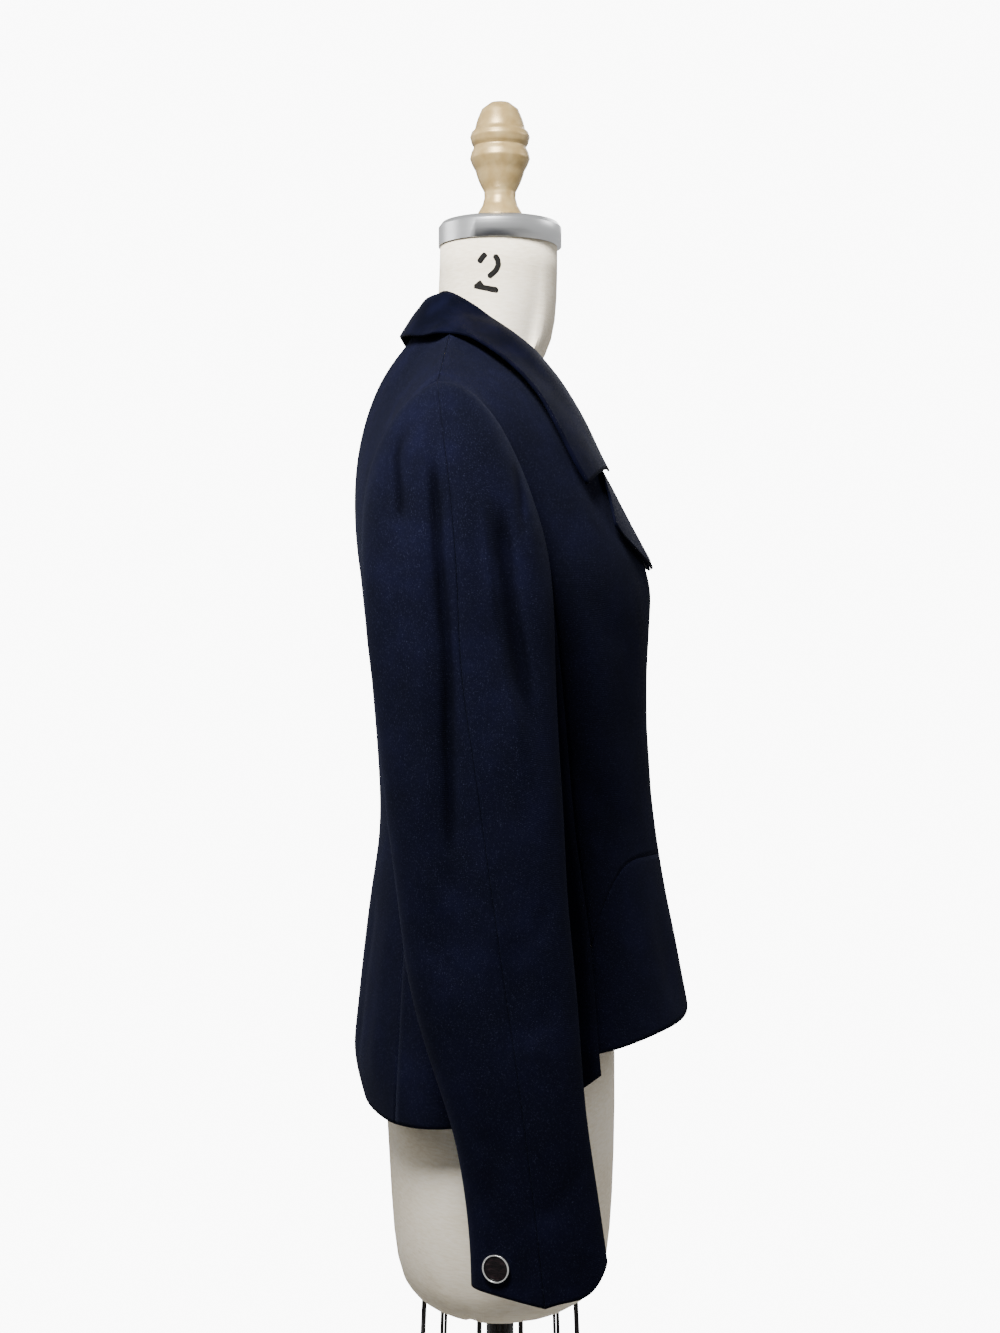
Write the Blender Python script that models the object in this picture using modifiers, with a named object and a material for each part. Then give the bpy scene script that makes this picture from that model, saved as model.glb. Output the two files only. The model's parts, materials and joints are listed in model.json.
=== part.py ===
"""A fitted wool blazer worn on a limbless dress form with its stand.

Metres, +Z up, floor at z = 0, the wearer's front towards -Y and the wearer's right towards -X.
Heights in the tables are millimetres above the bust line, and y is positive towards the back.
"""
import math

import bmesh
import bpy
import numpy as np
from mathutils import Matrix, Vector
from mathutils.bvhtree import BVHTree

MM = 0.001
BUST_Z = 1.03          # the bust line above the floor
CLOTH = 0.0018         # thickness of the wool walls
SEAM = 0.0002          # each piece's edge stands this far from its seam line
OVERLAP = 18           # each front reaches this far past the centre, in mm
LAP = 0.0014           # the right front lies this far out, the left one this far in
LAP_WIDTH = (62, 40)   # the lap fades out this far from the centre, over this width, in mm
LAP_TOP = (118, 30)    # and at this height, over this length
FORM_GAP = 0.0055      # least clearance of the form's cloth from the jacket's outer points
SEAT_GAP = 0.0027      # the same on the shoulders, which carry the jacket

# The jacket's outer sections: height, half width, front depth, back depth, y of the widest place
BODY = [
    (60, 174, 119, 109, 24),
    (30, 170, 116.5, 106, 22),
    (0, 163, 114.5, 102, 18),
    (-50, 152, 114.5, 97, 12),
    (-100, 143, 118, 94, 9),
    (-135, 140, 122, 95.5, 8),
    (-180, 150, 130, 102, 9),
    (-235, 168, 141, 108.5, 12),
    (-290, 184, 152, 115.5, 14),
    (-312, 188, 157, 111, 15),
    (-335, 190, 161, 104, 15),
]
BODY_ROUND = 0.88      # exponent of the sections' sine and cosine

# Heights of the rows' bounds along the front panel: share of the width from centre to side seam,
# hem, curved waist seam, row under the armhole
FRONT_ROWS = [
    (0.00, -250, -146, 60),
    (0.09, -259, -146, 60),
    (0.18, -264, -145, 60),
    (0.30, -267, -144, 58),
    (0.60, -270, -144, 56),
    (0.75, -273, -152, 54),
    (0.88, -276, -171, 52),
    (0.96, -278, -189, 51),
    (1.00, -278, -203, 50),
]
# The same for the side panel and the back, share of the way from side-front seam to centre back
BACK_ROWS = [
    (0.00, -293, -203, 50),
    (0.08, -311, -206, 44),
    (0.20, -325, -210, 40),
    (0.35, -330, -212, 42),
    (0.50, -331, -214, 56),
    (0.75, -328, -214, 60),
    (1.00, -325, -214, 60),
]
# y of the side-front and the side-back seam: height, y front, y back
SIDE_SEAMS = [
    (60, -37, 84),
    (0, -44, 76),
    (-125, -56, 66),
    (-200, -66, 70),
    (-335, -76, 76),
]
SKIRT_ROWS = 8
WAIST_ROWS = 13
UPPER_ROWS = 9
FRONT_COLUMNS = 11
SIDE_COLUMNS = 6
BACK_COLUMNS = 8

# The armhole seam, round from the shoulder over the front, the underarm and the back: angle, x, y, height
ARMHOLE = [
    (0, -190, 44, 201),
    (22, -188, 24, 197),
    (45, -180, 6, 178),
    (66, -170, -9, 150),
    (86, -165, -22, 115),
    (106, -165, -33, 82),
    (128, -168, -37, 52),
    (152, -173, -12, 41),
    (180, -175, 26, 38),
    (206, -174, 62, 43),
    (230, -168, 86, 60),
    (256, -169, 95, 92),
    (284, -173, 92, 130),
    (310, -178, 82, 162),
    (336, -185, 64, 188),
]
FRONT_ARM_ANGLE = 128
BACK_ARM_ANGLE = 230

# The front's inner edge from the lapel's break up to the neck: x, y, height
NECK_EDGE = [
    (18, -119, 60),
    (1, -113, 79),
    (-14, -103, 100),
    (-31, -86, 133),
    (-42, -71, 160),
    (-50, -60, 183),
    (-57, -45, 208),
    (-62, -22, 236),
    (-67, 8, 256),
    (-70, 36, 262),
]
SHOULDER_SEAM = [(-70, 36, 262), (-190, 44, 201)]
BACK_NECK = [(-70, 36, 262), (-60, 53, 260), (-34, 66, 258), (0, 71, 257)]
# The centre back above the underarm: height, y
CENTRE_BACK = [(60, 109), (90, 112.5), (125, 115), (150, 114.5), (185, 109), (209, 102), (233, 90), (257, 71)]

# The collar from centre back to its front end: roll x, y, height; outer edge x, y, height
COLLAR = [
    (0, 57, 290, 0, 80, 261),
    (-30, 52, 289, -42, 72, 254),
    (-50, 38, 286, -78, 52, 247),
    (-60, 26, 281, -102, 27, 239),
    (-62, 10, 269, -111, 4, 226),
    (-62, -10, 253, -117, -15, 206),
    (-60, -36, 228, -124, -31, 182),
    (-56, -55, 201, -127, -43, 158),
    (-49, -69, 175, -126, -52, 143),
    (-38, -83, 150, -122, -58, 131),
]
COLLAR_ROWS = 5
COLLAR_COLUMNS = 18    # on each side
STAND_COLUMNS = 9      # of these, how many the stand under the leaf spans
STAND_ROWS = 3
STAND_DROP = 0.004     # the stand's top is this far under the roll
STAND_RISE = 0.0022    # and its foot this far above the neck's edge
STAND_INSET = 0.98     # its size against theirs
COLLAR_SWELL = 0.0035  # how far the leaf's middle stands above a straight line
COLLAR_LIFT = 0.0080   # least height of the leaf's outer points over the jacket
# The lapel from its break to the gorge: height on the roll, outer edge x, y, height
LAPEL = [
    (86, -13, -121, 77),
    (97, -40, -115, 80),
    (112, -70, -103, 88),
    (128, -101, -83, 105),
    (140, -91, -80, 122),
    (150, -79, -78, 136),
]
LAPEL_ROWS = 11
LAPEL_COLUMNS = 6
LAPEL_LIFT = (0.0027, 0.0052)   # over the front panel, at the roll and at the outer edge

# The hanging sleeve: height, y front, y back, x of its axis, half of its thickness
SLEEVE = [
    (25, -39.3, 94.8, -218, 39.8),
    (0, -39.8, 91.3, -219, 39.8),
    (-50, -41.8, 85.3, -220, 39.8),
    (-100, -45.3, 80.6, -221, 38.8),
    (-160, -47.6, 72.3, -223, 36.8),
    (-210, -52.8, 66.6, -225, 34.8),
    (-240, -55.3, 59.8, -226, 33.8),
    (-282, -57.8, 46.4, -228, 31.8),
    (-314, -60.8, 33.8, -229, 29.8),
    (-345, -65.6, 27.8, -230, 27.8),
    (-375, -70.4, 23.3, -230, 26.8),
    (-405, -74.3, 21.3, -230, 26.8),
    (-434, -74.8, 19.8, -230, 26.8),
]
# The cuff's edge, which dips at the overarm seam and rounds up to the front: y, height
CUFF_EDGE = [
    (22, -424), (2, -426), (-19, -431), (-30, -434), (-38, -430.5), (-58, -429), (-65, -424), (-71, -416),
    (-75, -407),
]
CAP_ROWS = 11
CAP_LEAD = (1.0, 0.25, -0.15)   # the cap leaves the armhole outward, away from its middle and down
CAP_PULL = (0.95, 1.1)          # how strongly it follows that line, and the arm's line at its end
ARM_ROWS = 21
SLEEVE_ROUND = 0.93
SLEEVE_GAP = 0.0028             # least clearance of the sleeve's outer points from the jacket
OVERARM_COLUMNS = UPPER_ROWS   # so that sleeve and jacket share the armhole's points
UNDER_COLUMNS = SIDE_COLUMNS
# The overarm seam: height, y
OVERARM = [
    (201, 44), (157, 44), (117, 41), (65, 35), (3, 28), (-58, 19), (-115, 11), (-195, 0),
    (-263, -10), (-330, -19), (-400, -27), (-434, -30),
]
# The sleeve's folds on its outer side: depth in mm (a ridge is negative), half width, its line's y and height
FOLD_ENDS = (12, 40)            # a fold runs this far past its line, fading out over this length
FOLDS = [
    (6.5, 9, [(48, 134), (43, 95), (38, 50), (34, 11), (33, -64), (34, -140), (33, -205)]),
    (3.5, 8, [(70, 176), (69, 140), (69, 104)]),
    (5.0, 11, [(5, 148), (-1, 85), (-6, 30), (-13, -23)]),
    (-2.5, 7, [(12, 150), (7, 95), (3, 45), (-9, -35), (-20, -90)]),
    (2.5, 7, [(-8, 143), (-13, 120), (-18, 98)]),
    (-3.0, 12, [(58, 90), (56, 20), (53, -60)]),
    (3.0, 16, [(50, -150), (28, -185), (2, -215)]),
    (3.0, 15, [(-30, -190), (-18, -225), (4, -250)]),
]

# The dress form: height, half width, front depth, back depth, y of the widest place, exponent
FORM = [
    (-482, 128, 70, 66, 2, 1.0),
    (-474, 146, 82, 78, 2, 0.95),
    (-440, 157, 87, 84, 4, 0.92),
    (-380, 163, 90, 87, 5, 0.92),
    (-300, 164, 91, 92, 6, 0.92),
    (-240, 156, 88, 90, 6, 0.92),
    (-180, 134, 80, 78, 5, 0.94),
    (-125, 114, 76, 66, 4, 0.95),
    (-70, 122, 86, 72, 6, 0.95),
    (-20, 134, 103, 84, 8, 0.95),
    (20, 140, 108, 92, 12, 0.95),
    (60, 144, 100, 97, 18, 0.95),
    (110, 150, 82, 99, 28, 0.97),
    (150, 154, 64, 96, 36, 1.0),
    (180, 150, 48, 89, 38, 1.05),
    (200, 132, 34, 82, 36, 1.1),
    (220, 96, 22, 74, 30, 1.1),
    (236, 66, 30, 62, 14, 1.05),
    (256, 50, 42, 52, 4, 1.0),
    (290, 47.5, 45.5, 48.5, 1, 1.0),
    (331, 46.5, 45.5, 47.5, 1, 1.0),
]
FORM_SIDES = 48
SEAT_FROM = (72, 196)   # the form carries the jacket past this x and height
# Turned pieces: radius, height
CAP_PROFILE = [(0, 351), (38, 351), (46, 349.5), (48.6, 346), (48.6, 331.3), (0, 331.3)]
FINIAL_PROFILE = [
    (0, 446), (8, 445), (14.5, 440), (18.5, 431), (20, 424), (22.6, 421.5), (23.7, 418), (22.4, 413),
    (20.5, 410), (22.6, 406), (23.8, 401), (22, 396), (19.6, 392), (17, 383), (12.6, 375), (12.4, 370),
    (14, 364), (17, 359), (19, 355), (19, 351.3), (0, 351.3),
]
BASE_PROFILE = [
    (0, 62), (17, 62), (21, 58), (23, 40), (40, 33), (120, 29), (196, 24), (211, 17), (215, 8),
    (213, 0), (0, 0),
]
REST_GAP = 0.0003      # between hard pieces that touch
POLE_RADIUS = 0.0108
POLE_FOOT = 0.062 + REST_GAP
FORM_FOOT = BUST_Z - 0.482

WIRE_RADIUS = 0.0014
HOOP_RADIUS = 0.0022
HOOP_HEIGHT = -790      # of the cage's lower hoop, in mm from the bust line
MIDDLE_HOOP = -640
CAGE = (118, 61)        # half width and half depth of the cage under the form
CAGE_FLARE = 1.22       # the lower hoop against the top of the wires
CAGE_WIRES = 12

BUTTON_RADIUS = 0.0098
BUTTON_RIM = 0.0013
BUTTON_HEIGHT = 0.0032
BUTTON_LIFT = 0.0006       # of its back from the sleeve
BUTTON_PLACE = (2, -407)   # y and height on the sleeve's outer side

# Finishes: colour, roughness, metallic
WOOL = ("navy_wool", (0.012, 0.014, 0.028), 0.9, 0.0)
COLLAR_CLOTH = ("collar_cloth", (0.006, 0.007, 0.016), 0.7, 0.0)
LINEN = ("form_linen", (0.78, 0.72, 0.62), 0.9, 0.0)
ALUMINIUM = ("spun_aluminium", (0.72, 0.73, 0.74), 0.35, 1.0)
BRONZE_PAINT = ("bronze_paint", (0.36, 0.27, 0.16), 0.4, 0.2)
BLACK_PAINT = ("black_paint", (0.008, 0.008, 0.009), 0.45, 0.0)
RIM_METAL = ("silver_rim", (0.7, 0.7, 0.7), 0.25, 1.0)
BUTTON_DARK = ("button_disc", (0.01, 0.009, 0.012), 0.3, 0.0)


def clear_scene():
    """Remove the objects and materials that the file starts with."""
    for item in list(bpy.data.objects):
        bpy.data.objects.remove(item, do_unlink=True)
    for item in list(bpy.data.materials):
        bpy.data.materials.remove(item)


def finish(name, colour, roughness, metallic):
    """A Principled material of the given finish."""
    material = bpy.data.materials.new(name)
    material.use_nodes = True
    shader = material.node_tree.nodes["Principled BSDF"]
    shader.inputs["Base Color"].default_value = (*colour, 1.0)
    shader.inputs["Roughness"].default_value = roughness
    shader.inputs["Metallic"].default_value = metallic
    material.diffuse_color = (*colour, 1.0)
    return material


def place(x, y, height):
    """World point of a table's x, y and height."""
    return np.array((x * MM, y * MM, BUST_Z + height * MM))


def row_at(table, key):
    """A table's columns at a value of its first column, which may rise or fall."""
    rows = sorted(table)
    keys = [row[0] for row in rows]
    return [np.interp(key, keys, [row[i] for row in rows]) for i in range(1, len(rows[0]))]


def spline(points, shares):
    """Points of a Catmull-Rom curve at shares of its chord length."""
    points = np.asarray(points, dtype=float)
    steps = np.linalg.norm(np.diff(points, axis=0), axis=1)
    reach = np.concatenate(([0.0], np.cumsum(steps))) / steps.sum()
    slopes = np.gradient(points, reach, axis=0, edge_order=1)
    result = []
    for share in shares:
        i = min(max(int(np.searchsorted(reach, share)) - 1, 0), len(steps) - 1)
        span = reach[i + 1] - reach[i]
        t = (share - reach[i]) / span
        result.append(hermite(points[i], slopes[i] * span, points[i + 1], slopes[i + 1] * span, t))
    return np.array(result)


def hermite(start, start_slope, end, end_slope, t):
    """A cubic from start to end with the given slopes."""
    return (
        (2 * t**3 - 3 * t**2 + 1) * start
        + (t**3 - 2 * t**2 + t) * start_slope
        + (3 * t**2 - 2 * t**3) * end
        + (t**3 - t**2) * end_slope
    )


def body_point(angle, height):
    """Outer point of the jacket: angle 0 is centre front, pi is centre back, by the right side."""
    width, front, back, widest = row_at(BODY, height)
    across = -width * math.copysign(abs(math.sin(angle)) ** BODY_ROUND, angle)
    along = abs(math.cos(angle)) ** BODY_ROUND
    if math.cos(angle) > 0:
        return place(across, widest - (front + widest) * along, height)
    return place(across, widest + (back - widest) * along, height)


def angle_at_y(y, height):
    """The angle at which the right side of a section has this y."""
    _, front, back, widest = row_at(BODY, height)
    if y < widest:
        return math.acos(((widest - y) / (front + widest)) ** (1 / BODY_ROUND))
    return math.pi - math.acos(((y - widest) / (back - widest)) ** (1 / BODY_ROUND))


def angle_past_centre(height):
    """The angle of the front edge, past the centre."""
    width = row_at(BODY, height)[0]
    return -math.asin((OVERLAP / width) ** (1 / BODY_ROUND))


def row_height(bounds, row):
    """Height of a row between hem, waist line and underarm."""
    hem, waist, top = bounds
    if row <= SKIRT_ROWS:
        return hem + (waist - hem) * row / SKIRT_ROWS
    return waist + (top - waist) * (row - SKIRT_ROWS) / WAIST_ROWS


def lower_front():
    """Rows of the front from hem to underarm, from the front edge to the side-front seam."""
    rows = []
    for row in range(SKIRT_ROWS + WAIST_ROWS + 1):
        points = []
        for column in range(FRONT_COLUMNS + 1):
            share = column / FRONT_COLUMNS
            height = row_height(row_at(FRONT_ROWS, share), row)
            start = angle_past_centre(height)
            end = angle_at_y(row_at(SIDE_SEAMS, height)[0], height)
            if column == 0:
                angle = start
            else:
                angle = -start + (end + start) * (column - 1) / (FRONT_COLUMNS - 1)
            points.append(body_point(angle, height))
        rows.append(points)
    return np.array(rows)


def lower_back():
    """Rows of side panel and back from hem to underarm, from the side-front seam to centre back."""
    rows = []
    for row in range(SKIRT_ROWS + WAIST_ROWS + 1):
        points = []
        for column in range(SIDE_COLUMNS + BACK_COLUMNS + 1):
            if column <= SIDE_COLUMNS:
                share = 0.45 * column / SIDE_COLUMNS
            else:
                share = 0.45 + 0.55 * (column - SIDE_COLUMNS) / BACK_COLUMNS
            height = row_height(row_at(BACK_ROWS, share), row)
            start = angle_at_y(row_at(SIDE_SEAMS, height)[0], height)
            seam = angle_at_y(row_at(SIDE_SEAMS, height)[1], height)
            if column <= SIDE_COLUMNS:
                angle = start + (seam - start) * column / SIDE_COLUMNS
            else:
                angle = seam + (math.pi - seam) * (column - SIDE_COLUMNS) / BACK_COLUMNS
            points.append(body_point(angle, height))
        rows.append(points)
    return np.array(rows)


def armhole(angles):
    """Points of the armhole seam at angles in degrees."""
    loop = ARMHOLE[-2:] + ARMHOLE + ARMHOLE[:3]
    keys = np.array([row[0] for row in loop], dtype=float)
    keys[:2] -= 360
    keys[-3:] += 360
    points = np.array([place(*row[1:]) for row in loop])
    slopes = np.gradient(points, keys, axis=0)
    result = []
    for angle in np.mod(angles, 360):
        i = int(np.searchsorted(keys, angle, side="right")) - 1
        span = keys[i + 1] - keys[i]
        t = (angle - keys[i]) / span
        result.append(hermite(points[i], slopes[i] * span, points[i + 1], slopes[i + 1] * span, t))
    return np.array(result)


def coons(bottom, top, left, right):
    """A patch between four edges; bottom and top run from left to right."""
    t = np.linspace(0, 1, len(left))[:, None, None]
    s = np.linspace(0, 1, len(bottom))[None, :, None]
    ruled = (1 - t) * bottom[None] + t * top[None] + (1 - s) * left[:, None] + s * right[:, None]
    corners = (1 - t) * ((1 - s) * bottom[0] + s * bottom[-1]) + t * ((1 - s) * top[0] + s * top[-1])
    return ruled - corners


def relaxed(grid, first_row, rounds=6, first_column=0):
    """The grid with its inner points from first_row up drawn towards their neighbours' mean."""
    grid = grid.copy()
    for _ in range(rounds):
        mean = (grid[:-2, 1:-1] + grid[2:, 1:-1] + grid[1:-1, :-2] + grid[1:-1, 2:]) / 4
        inner = grid[1:-1, 1:-1]
        inner[first_row:, first_column:] += 0.5 * (mean - inner)[first_row:, first_column:]
    return grid


def body_grids():
    """Outer points of the right half: front (hem to shoulder), side panel, back."""
    shares = np.linspace(0, 1, UPPER_ROWS + 1)
    across = np.linspace(0, 1, FRONT_COLUMNS + 1)
    front = lower_front()
    front[-1, -1] = armhole([FRONT_ARM_ANGLE])[0]
    inner_edge = spline([place(*row) for row in NECK_EDGE], shares)
    inner_edge[0] = front[-1, 0]
    neck_side, shoulder_point = [place(*row) for row in SHOULDER_SEAM]
    shoulder = np.array([neck_side + (shoulder_point - neck_side) * share for share in across])
    arm_edge = armhole(FRONT_ARM_ANGLE * (1 - shares))
    upper = coons(front[-1], shoulder, inner_edge, arm_edge)
    front = relaxed(np.concatenate((front, upper[1:])), SKIRT_ROWS + WAIST_ROWS - 5, 6, 1)

    sides = lower_back()
    side = sides[:, :SIDE_COLUMNS + 1].copy()
    side[:, 0][SKIRT_ROWS:] = front[SKIRT_ROWS:SKIRT_ROWS + WAIST_ROWS + 1, -1]
    side[-1] = armhole(np.linspace(FRONT_ARM_ANGLE, BACK_ARM_ANGLE, SIDE_COLUMNS + 1))
    side = relaxed(side, SKIRT_ROWS + WAIST_ROWS - 3, 3)

    back = sides[:, SIDE_COLUMNS:]
    back[-1, 0] = side[-1, -1]
    round_neck = [place(*row) for row in BACK_NECK]
    seam_columns = BACK_COLUMNS // 2 + 1
    top = np.concatenate((
        np.linspace(shoulder[-1], shoulder[0], seam_columns),
        spline(round_neck, np.linspace(0, 1, BACK_COLUMNS - seam_columns + 2))[1:],
    ))
    centre = spline([place(0, y, height) for height, y in CENTRE_BACK], shares)
    arm_edge = armhole(BACK_ARM_ANGLE + (360 - BACK_ARM_ANGLE) * shares)
    upper = coons(back[-1], top, arm_edge, centre)
    back = relaxed(np.concatenate((back, upper[1:])), SKIRT_ROWS + WAIST_ROWS - 5)
    return front, side, back


def normals_of(grid):
    """Unit normals at a grid's points; rows x columns point outward on the jacket's right half."""
    down = np.gradient(grid, axis=0)
    across = np.gradient(grid, axis=1)
    normal = np.cross(down, across)
    return normal / np.linalg.norm(normal, axis=2, keepdims=True)


def shared_normals(front, side, back):
    """Normals of the right half's panels, the same on both sides of each seam."""
    lower = SKIRT_ROWS + WAIST_ROWS + 1
    facing = [normals_of(grid) for grid in (front, side, back)]
    for first, second in ((0, 1), (1, 2)):
        joint = facing[first][:lower, -1] + facing[second][:lower, 0]
        joint /= np.linalg.norm(joint, axis=1, keepdims=True)
        facing[first][:lower, -1] = joint
        facing[second][:lower, 0] = joint
    shoulder = np.subtract(SHOULDER_SEAM[-1], SHOULDER_SEAM[0])
    upward = np.array((shoulder[2], 0, -shoulder[0])) / math.hypot(shoulder[0], shoulder[2])
    facing[0][-1] = upward
    facing[2][-1, :BACK_COLUMNS // 2 + 1] = upward
    facing[2][:, -1, 0] = 0
    facing[2][:, -1] /= np.linalg.norm(facing[2][:, -1], axis=1, keepdims=True)
    return facing


def mirrored(grid):
    """The grid on the other side, with its columns reversed so that its faces keep their sense."""
    other = grid[:, ::-1].copy()
    other[..., 0] *= -1
    return other


def trimmed(grid, distance=SEAM):
    """The grid with each edge drawn in towards the row beside it."""
    grid = grid.copy()
    for edge, beside in ((0, 1), (-1, -2)):
        step = grid[beside] - grid[edge]
        grid[edge] += distance * step / np.linalg.norm(step, axis=1, keepdims=True)
    for edge, beside in ((0, 1), (-1, -2)):
        step = grid[:, beside] - grid[:, edge]
        grid[:, edge] += distance * step / np.linalg.norm(step, axis=1, keepdims=True)
    return grid


def add_object(name, bm, material, collection):
    """An object in the collection from a bmesh, smooth but for its sharp edges."""
    bmesh.ops.recalc_face_normals(bm, faces=bm.faces)
    mesh = bpy.data.meshes.new(name)
    bm.to_mesh(mesh)
    bm.free()
    mesh.materials.append(material)
    mesh.shade_smooth()
    mesh.set_sharp_from_angle(angle=math.radians(50))
    item = bpy.data.objects.new(name, mesh)
    collection.objects.link(item)
    return item


def add_wall(name, outer, normals, material, collection, thickness=CLOTH):
    """A closed cloth wall: the outer points, the inner ones a thickness behind, and the edges."""
    inner = trimmed(outer - normals * thickness)
    outer = trimmed(outer)
    rows, columns = outer.shape[:2]
    bm = bmesh.new()
    layers = [[[bm.verts.new(point) for point in row] for row in layer] for layer in (outer, inner)]
    for row in range(rows - 1):
        for column in range(columns - 1):
            for layer in layers:
                bm.faces.new((
                    layer[row][column], layer[row][column + 1],
                    layer[row + 1][column + 1], layer[row + 1][column],
                ))
    rim = [(row, 0) for row in range(rows)]
    rim += [(rows - 1, column) for column in range(1, columns)]
    rim += [(row, columns - 1) for row in range(rows - 2, -1, -1)]
    rim += [(0, column) for column in range(columns - 2, 0, -1)]
    for (r1, c1), (r2, c2) in zip(rim, rim[1:] + rim[:1]):
        bm.faces.new((layers[0][r1][c1], layers[0][r2][c2], layers[1][r2][c2], layers[1][r1][c1]))
    return add_object(name, bm, material, collection)


def surface_tree(grids):
    """A search tree over grids of points."""
    points = []
    faces = []
    for grid in grids:
        start = len(points)
        rows, columns = grid.shape[:2]
        points += [Vector(point) for point in grid.reshape(-1, 3)]
        for row in range(rows - 1):
            for column in range(columns - 1):
                corner = start + row * columns + column
                faces.append((corner, corner + columns, corner + columns + 1, corner + 1))
    return BVHTree.FromPolygons(points, faces)


def laid_on(tree, grid, lifts):
    """The grid's points on the surface of the tree, each lifted by its column's amount."""
    result = grid.copy()
    for row in range(grid.shape[0]):
        for column in range(grid.shape[1]):
            near, normal, _, _ = tree.find_nearest(Vector(grid[row, column]))
            result[row, column] = near + normal * lifts[column]
    return result


def kept_off(tree, grid, least, reach=0.03):
    """The grid with each point that is too near the tree's surface, or behind it, moved out."""
    result = grid.copy()
    for index in np.ndindex(grid.shape[:-1]):
        point = Vector(grid[index])
        near, normal, _, _ = tree.find_nearest(point)
        height = (point - near).dot(normal)
        if (point - near).length < reach and height < least:
            result[index] = point + normal * (least - height)
    return result


def lapped(grid, normals, side):
    """The grid moved out or in where the fronts lie on each other."""
    across = np.clip((LAP_WIDTH[0] - np.abs(grid[..., 0]) / MM) / LAP_WIDTH[1], 0, 1)
    upward = np.clip((LAP_TOP[0] - (grid[..., 2] - BUST_Z) / MM) / LAP_TOP[1], 0, 1)
    shift = side * LAP * across * upward
    return grid + normals * shift[..., None]


def add_body(materials, collection):
    """The fronts, their skirts, the side panels and the backs; returns the outer grids."""
    front, side, back = body_grids()
    front_facing, side_facing, back_facing = shared_normals(front, side, back)
    both = []
    for name, sign, turn in (("right", 1, lambda grid: grid), ("left", -1, mirrored)):
        lap = lapped(front, front_facing, sign)
        pieces = {
            "front": (lap[SKIRT_ROWS:], front_facing[SKIRT_ROWS:]),
            "front_skirt": (lap[:SKIRT_ROWS + 1], front_facing[:SKIRT_ROWS + 1]),
            "side": (side, side_facing),
            "back": (back, back_facing),
        }
        for piece, (points, normals) in pieces.items():
            add_wall(f"{piece}_{name}", turn(points), turn(normals), materials["wool"], collection)
        both += [turn(lap), turn(side), turn(back)]
    return both


def sleeve_ring(heights, angles):
    """Points round the hanging sleeve at heights; angle 0 is its outer line, 90 its front."""
    points = []
    for height, angle in zip(heights, np.radians(angles)):
        front, back, axis, thick = row_at(SLEEVE, height)
        out = math.copysign(abs(math.cos(angle)) ** SLEEVE_ROUND, math.cos(angle))
        fore = math.copysign(abs(math.sin(angle)) ** SLEEVE_ROUND, math.sin(angle))
        points.append(place(axis - thick * out, (front + back) / 2 - (back - front) / 2 * fore, height))
    return np.array(points)


def overarm_angle(height):
    """The overarm seam's angle at a height."""
    if height > 25:
        return 0.0
    front, back, _, _ = row_at(SLEEVE, height)
    share = ((front + back) / 2 - row_at(OVERARM, height)[0]) / ((back - front) / 2)
    return math.degrees(math.asin(share)) * min(1.0, (25 - height) / 60)


def sleeve_angles(seam):
    """Column angles: under seam, overarm seam, under seam and on round the under piece."""
    behind = np.linspace(BACK_ARM_ANGLE - 360, seam, OVERARM_COLUMNS + 1)
    before = np.linspace(seam, FRONT_ARM_ANGLE, OVERARM_COLUMNS + 1)
    under = np.linspace(FRONT_ARM_ANGLE, BACK_ARM_ANGLE, UNDER_COLUMNS + 1)
    return np.concatenate((behind, before[1:], under[1:]))


def sleeve_grid():
    """Outer points of the right sleeve, from armhole to cuff."""
    angles = sleeve_angles(0.0)
    start = armhole(angles)
    top = SLEEVE[0][0]
    end = sleeve_ring([top] * len(angles), angles)
    centre = start.mean(axis=0)
    away = start - centre
    away[:, 0] = 0
    away /= np.linalg.norm(away, axis=1, keepdims=True)
    lead = np.array((-CAP_LEAD[0], 0, CAP_LEAD[2])) + CAP_LEAD[1] * away
    reach = np.linalg.norm(end - start, axis=1, keepdims=True)
    start = start + 2.5 * SEAM * lead
    down = np.array((0, 0, -1.0))
    rows = []
    for t in np.linspace(0, 1, CAP_ROWS + 1):
        rows.append(hermite(start, lead * reach * CAP_PULL[0], end, down * reach * CAP_PULL[1], t))
    cuff = sleeve_ring([SLEEVE[-1][0]] * len(angles), sleeve_angles(overarm_angle(SLEEVE[-1][0])))
    edge = np.array([row_at(CUFF_EDGE, y / MM)[0] for y in cuff[:, 1]])
    for row in range(1, ARM_ROWS + 1):
        heights = top + (edge - top) * row / ARM_ROWS
        seam = overarm_angle(heights[OVERARM_COLUMNS])
        rows.append(sleeve_ring(heights, sleeve_angles(seam)))
    return relaxed(np.array(rows), 2, 2)


def fold_depth(y, height):
    """How far the folds draw the sleeve's outer side in, in metres."""
    depth = 0.0
    point = np.array((y, height))
    for drop, half_width, line in FOLDS:
        line = np.array(line, dtype=float)
        above = np.clip((line[:, 1].max() - height + FOLD_ENDS[0]) / FOLD_ENDS[1], 0, 1)
        below = np.clip((height - line[:, 1].min() + FOLD_ENDS[0]) / FOLD_ENDS[1], 0, 1)
        away = min(distance_to(point, line[i], line[i + 1]) for i in range(len(line) - 1))
        depth += drop * MM * math.exp(-(away / half_width) ** 2) * above * below
    return depth


def distance_to(point, start, end):
    """Distance of a point from a straight stretch."""
    step = end - start
    share = np.clip(np.dot(point - start, step) / np.dot(step, step), 0, 1)
    return float(np.linalg.norm(point - start - share * step))


def ring_normals(grid):
    """Outward normals of a sleeve, whose last column closes on its first."""
    closed = np.concatenate((grid[:, -3:-1], grid, grid[:, 1:3]), axis=1)
    return normals_of(closed)[:, 2:-2]


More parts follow.
